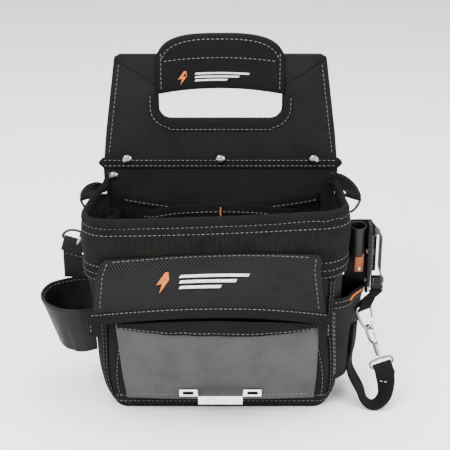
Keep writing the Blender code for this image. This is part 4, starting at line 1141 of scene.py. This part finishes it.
def make_webbing(low_bar, right):
    ring_bar, ring_dir = joint_line("ring_sway")
    first, last = 0.001 + GAP + 0.0007, 0.0016 + GAP + 0.0013
    faces = Vector((0, -0.7, 0.71)), Vector((ring_dir.y, -ring_dir.x, 0)).normalized()
    downs = [d if d.z < 0 else -d for d in (faces[0].cross(right), faces[1].cross(ring_dir))]
    middle = low_bar.lerp(ring_bar, 0.5) + Vector((-0.0015, 0, 0.0005))
    face = (faces[0] + faces[1]).normalized()
    centres = [middle + face * 0.001]
    sides = [right.lerp(ring_dir, 0.5).normalized() * 0.0076]
    for a in spread(0.0, pi, 9):
        centres.append(ring_bar + (faces[1] * cos(a) + downs[1] * sin(a)) * last)
        sides.append(ring_dir * 0.0084)
    centres.append(middle - face * 0.001)
    sides.append(sides[0])
    for a in spread(pi, 2 * pi, 9):
        centres.append(low_bar + (faces[0] * cos(a) + downs[0] * sin(a)) * first)
        sides.append(right * 0.0058)
    centres.append(centres[-1].lerp(centres[0], 0.86))
    sides.append(sides[0])
    line, half = smooth_run(centres), smooth_run(sides)
    strap("hook_webbing_band", line, half, 0.0015, STRAP_CLOTH, 110, nodes="hook_webbing", round_edge=0.4)


def make_tape_strap():
    width = 0.0192
    bar, eye_dir = joint_line("eye_sway")
    down = Vector((0.135, -0.368, -0.92))
    down = (down - eye_dir * down.dot(eye_dir)).normalized()
    face = eye_dir.cross(down).normalized()
    face = face if face.y < 0 else -face
    away = 0.00125 + GAP + 0.0008
    centres = [bar - face * (away - 0.0002) + down * k for k in (0.012, 0.006)]
    centres += [bar + face * away * cos(a) - down * away * sin(a) for a in spread(pi, 0, 9)]
    turn_count = len(centres)
    run = [centres[-1] + down * 0.006]
    run += [(0.1672, -0.0432, 0.023), (0.1655, -0.048, 0.012), (0.159, -0.05, 0.004)]
    run += [(0.1515, -0.049, 0.0024), (0.145, -0.045, 0.0065), (0.1408, -0.0385, 0.016)]
    run += [slouch(side_pocket_point(t, z, 0.003)) for t, z in ((4.1, 0.034), (4.14, 0.056), (4.16, 0.076))]
    turns = [eye_dir, (0.8, -0.5, 0.33), (0.5, -0.85, 0.1), (0.2, -0.98, 0.0), (0.0, -1.0, 0.0)]
    turns += [(-0.2, -0.98, 0.0), (-0.35, -0.93, 0.0)] + [(-0.31, -0.95, 0.0)] * 3
    line = smooth_run(centres + run)
    widths = smooth_run([eye_dir] * turn_count + turns)

    def half(s):
        tangent = (line(min(1.0, s + 0.01)) - line(max(0.0, s - 0.01))).normalized()
        across = widths(s)
        return (across - tangent * across.dot(tangent)).normalized() * width / 2

    more = {"across": 8, "nodes": "tape_strap", "round_edge": 0.4}
    piece, place = strap("tape_strap_webbing", line, half, 0.0017, STRAP_CLOTH, 120, **more)
    length = sum((line((i + 1) / 200) - line(i / 200)).length for i in range(200))
    mark_at = (turn_count + 0.75) / (len(centres) + len(run) - 1)
    for side in (1, -1):
        curve = lambda s: (mark_at + 0.006 * sin(3 * s), 0.15 + 0.6 * s)
        sew(place, curve, 0.001, ("pouch", "bright"), side, 24)


# How far out the side pocket stands, by the outline's t
POCKET_PLAN = [(3.4, 0.0012), (3.5, 0.0024), (3.65, 0.0042), (3.8, 0.0062), (4.00, 0.0095), (4.17, 0.0165)]
POCKET_PLAN += [(4.35, 0.024), (4.5, 0.0285), (4.62, 0.028), (4.76, 0.02), (4.84, 0.01), (4.88, 0.0012)]
POCKET_LOW, POCKET_HIGH = 0.034, 0.117


def side_pocket_top(t):
    return POCKET_HIGH - 0.007 * min(1.0, (t - 3.4) / 1.1)


def side_pocket_point(t, z, away=0.0):
    out = POCKET_PLAN[-1][1]
    for (t0, out0), (t1, out1) in zip(POCKET_PLAN, POCKET_PLAN[1:]):
        if t0 <= t <= t1:
            out = out0 + (out1 - out0) * (t - t0) / (t1 - t0)
    taper = 0.8 + 0.2 * (z - POCKET_LOW) / (side_pocket_top(t) - POCKET_LOW)
    out = 0.0012 + (out - 0.0012) * taper
    return Vector((*plan(t, z, out + away), z))


def make_side_pocket():
    def pocket(u, v):
        t = 3.4 + 1.48 * u
        if v < 0.12:
            low = Vector((*plan(t, POCKET_LOW - 0.005, 0.0014), POCKET_LOW - 0.003))
            edge = side_pocket_point(t, POCKET_LOW)
            return slouch(low.lerp(edge, v / 0.12) - Vector((0, 0, 0.004 * hump(u))))
        z = POCKET_LOW + (side_pocket_top(t) - POCKET_LOW) * (v - 0.12) / 0.88
        free = hump(u) * ease(v, 0.12, 0.4)
        p = side_pocket_point(t, z, crumple((t * 0.05, z, 0.2), 32.0, 0.0015, 9.0) * free)
        return slouch(p - Vector((0, 0, 0.004 * hump(u) * (1 - ease(v, 0.12, 0.5)))))

    cloth("side_pocket_cloth", 80, 40, pocket, 0.0014, BALLISTIC_BACK, "side_pocket_right")

    def rim(u, v):
        u = 0.003 + 0.994 * u
        return pocket(u, 0.9 + 0.1 * v) + normal_at(pocket, u, 0.94) * 0.0012 + Vector((0, 0, 0.0013 * v))

    cloth("side_pocket_tape", 80, 4, rim, 0.001, TAPE)
    for v in (0.1, 0.62):
        sew(rim, row(v), 0.0006, count=110)
    zigzag = [(0.3 + 0.36 * k / 38, 0.72 if k % 2 else 0.38) for k in range(39)]
    points = [rim(u, v) for u, v in zigzag]
    normals = [normal_at(rim, u, 0.5) for u, v in zigzag]
    points = [p + n * 0.0007 for p, n in zip(points, normals)]
    stitch(points, normals, ("pouch", "orange"), length=0.002, gap=0.0001, radius=0.00034)
    for u in (0.012, 0.035):
        sew(pocket, column(u, 0.14, 0.72), 0.0008, count=60)
    heights = enumerate(spread(0.112, 0.126, 18))
    bar = [on_wall(3.36, z, 0.0012) + Vector((0.0006 * (i % 2), 0, 0)) for i, z in heights]
    stitch(bar, Vector((0.5, -0.86, 0)), ("pouch", "orange"), length=0.0015, gap=0.0001, radius=0.0006)


# ---------------------------------------------------------------- hardware, floor, light, camera
def finish_hardware():
    finishes = {
        NICKEL: "welt_rivet_left welt_rivet_centre welt_rivet_right gusset_rivet_left tab_rivet_left tab_rivet_right "
        "tube_rivet clip_rivet ring_rivet snap_hook snap_gate swivel_eye hook_ring link_ring_left",
        BRIGHT: "tool_bracket rect_ring",
        DARK_STEEL: "holster_d_ring upper_d_ring_left upper_d_ring_right tape_clip",
        STRAP_CLOTH: "bracket_keeper_left bracket_keeper_right",
    }
    for mat, names in finishes.items():
        for name in names.split():
            node = frame["nodes"][name]
            node.data.materials.clear()
            node.data.materials.append(mat)
            for face in node.data.polygons:
                face.use_smooth = True
            edges = node.modifiers.new("Edges", "EDGE_SPLIT")
            edges.split_angle = radians(38)


def make_stage():
    bm = bmesh.new()
    bmesh.ops.create_grid(bm, x_segments=8, y_segments=8, size=3.0)
    mesh = bpy.data.meshes.new("floor")
    bm.to_mesh(mesh)
    bm.free()
    mesh.materials.append(pale_floor())
    floor = add("floor", mesh)
    floor.location.z = -0.0002


def make_light(name, place, size, power):
    """A soft lamp that faces the middle of the pouch."""
    data = bpy.data.lights.new(name, "AREA")
    data.shape = "RECTANGLE"
    data.size, data.size_y = size
    data.energy = power
    lamp = add(name, data)
    lamp.location = place
    lamp.rotation_euler = (Vector((0, 0, 0.15)) - Vector(place)).to_track_quat("-Z", "Y").to_euler()


def make_lights():
    world = bpy.data.worlds.new("world")
    bpy.context.scene.world = world
    world.use_nodes = True
    background = world.node_tree.nodes["Background"]
    background.inputs["Color"].default_value = (1, 1, 1, 1)
    background.inputs["Strength"].default_value = 1.25
    make_light("key", (-0.9, -1.3, 1.5), (1.2, 1.0), 56)
    make_light("fill", (1.4, -1.0, 0.9), (0.9, 0.9), 26)
    make_light("top", (0.0, 0.2, 1.8), (1.6, 1.4), 58)


def make_camera():
    tilt, distance = radians(22), 1.1
    data = bpy.data.cameras.new("camera")
    data.lens, data.sensor_width = 88.0, 36.0
    data.shift_y = 0.0271
    cam = add("camera", data)
    cam.location = (0.0045, -distance * cos(tilt), 0.165 + distance * sin(tilt))
    cam.rotation_euler = (pi / 2 - tilt, 0, 0)
    bpy.context.scene.camera = cam


make_walls()
make_back()
make_inside()
make_front_pocket()
make_flap()
make_marks()
make_left()
make_upper_tab(-1)
make_upper_tab(1)
make_right()
finish_stitches()
finish_hardware()
make_stage()
make_lights()
make_camera()
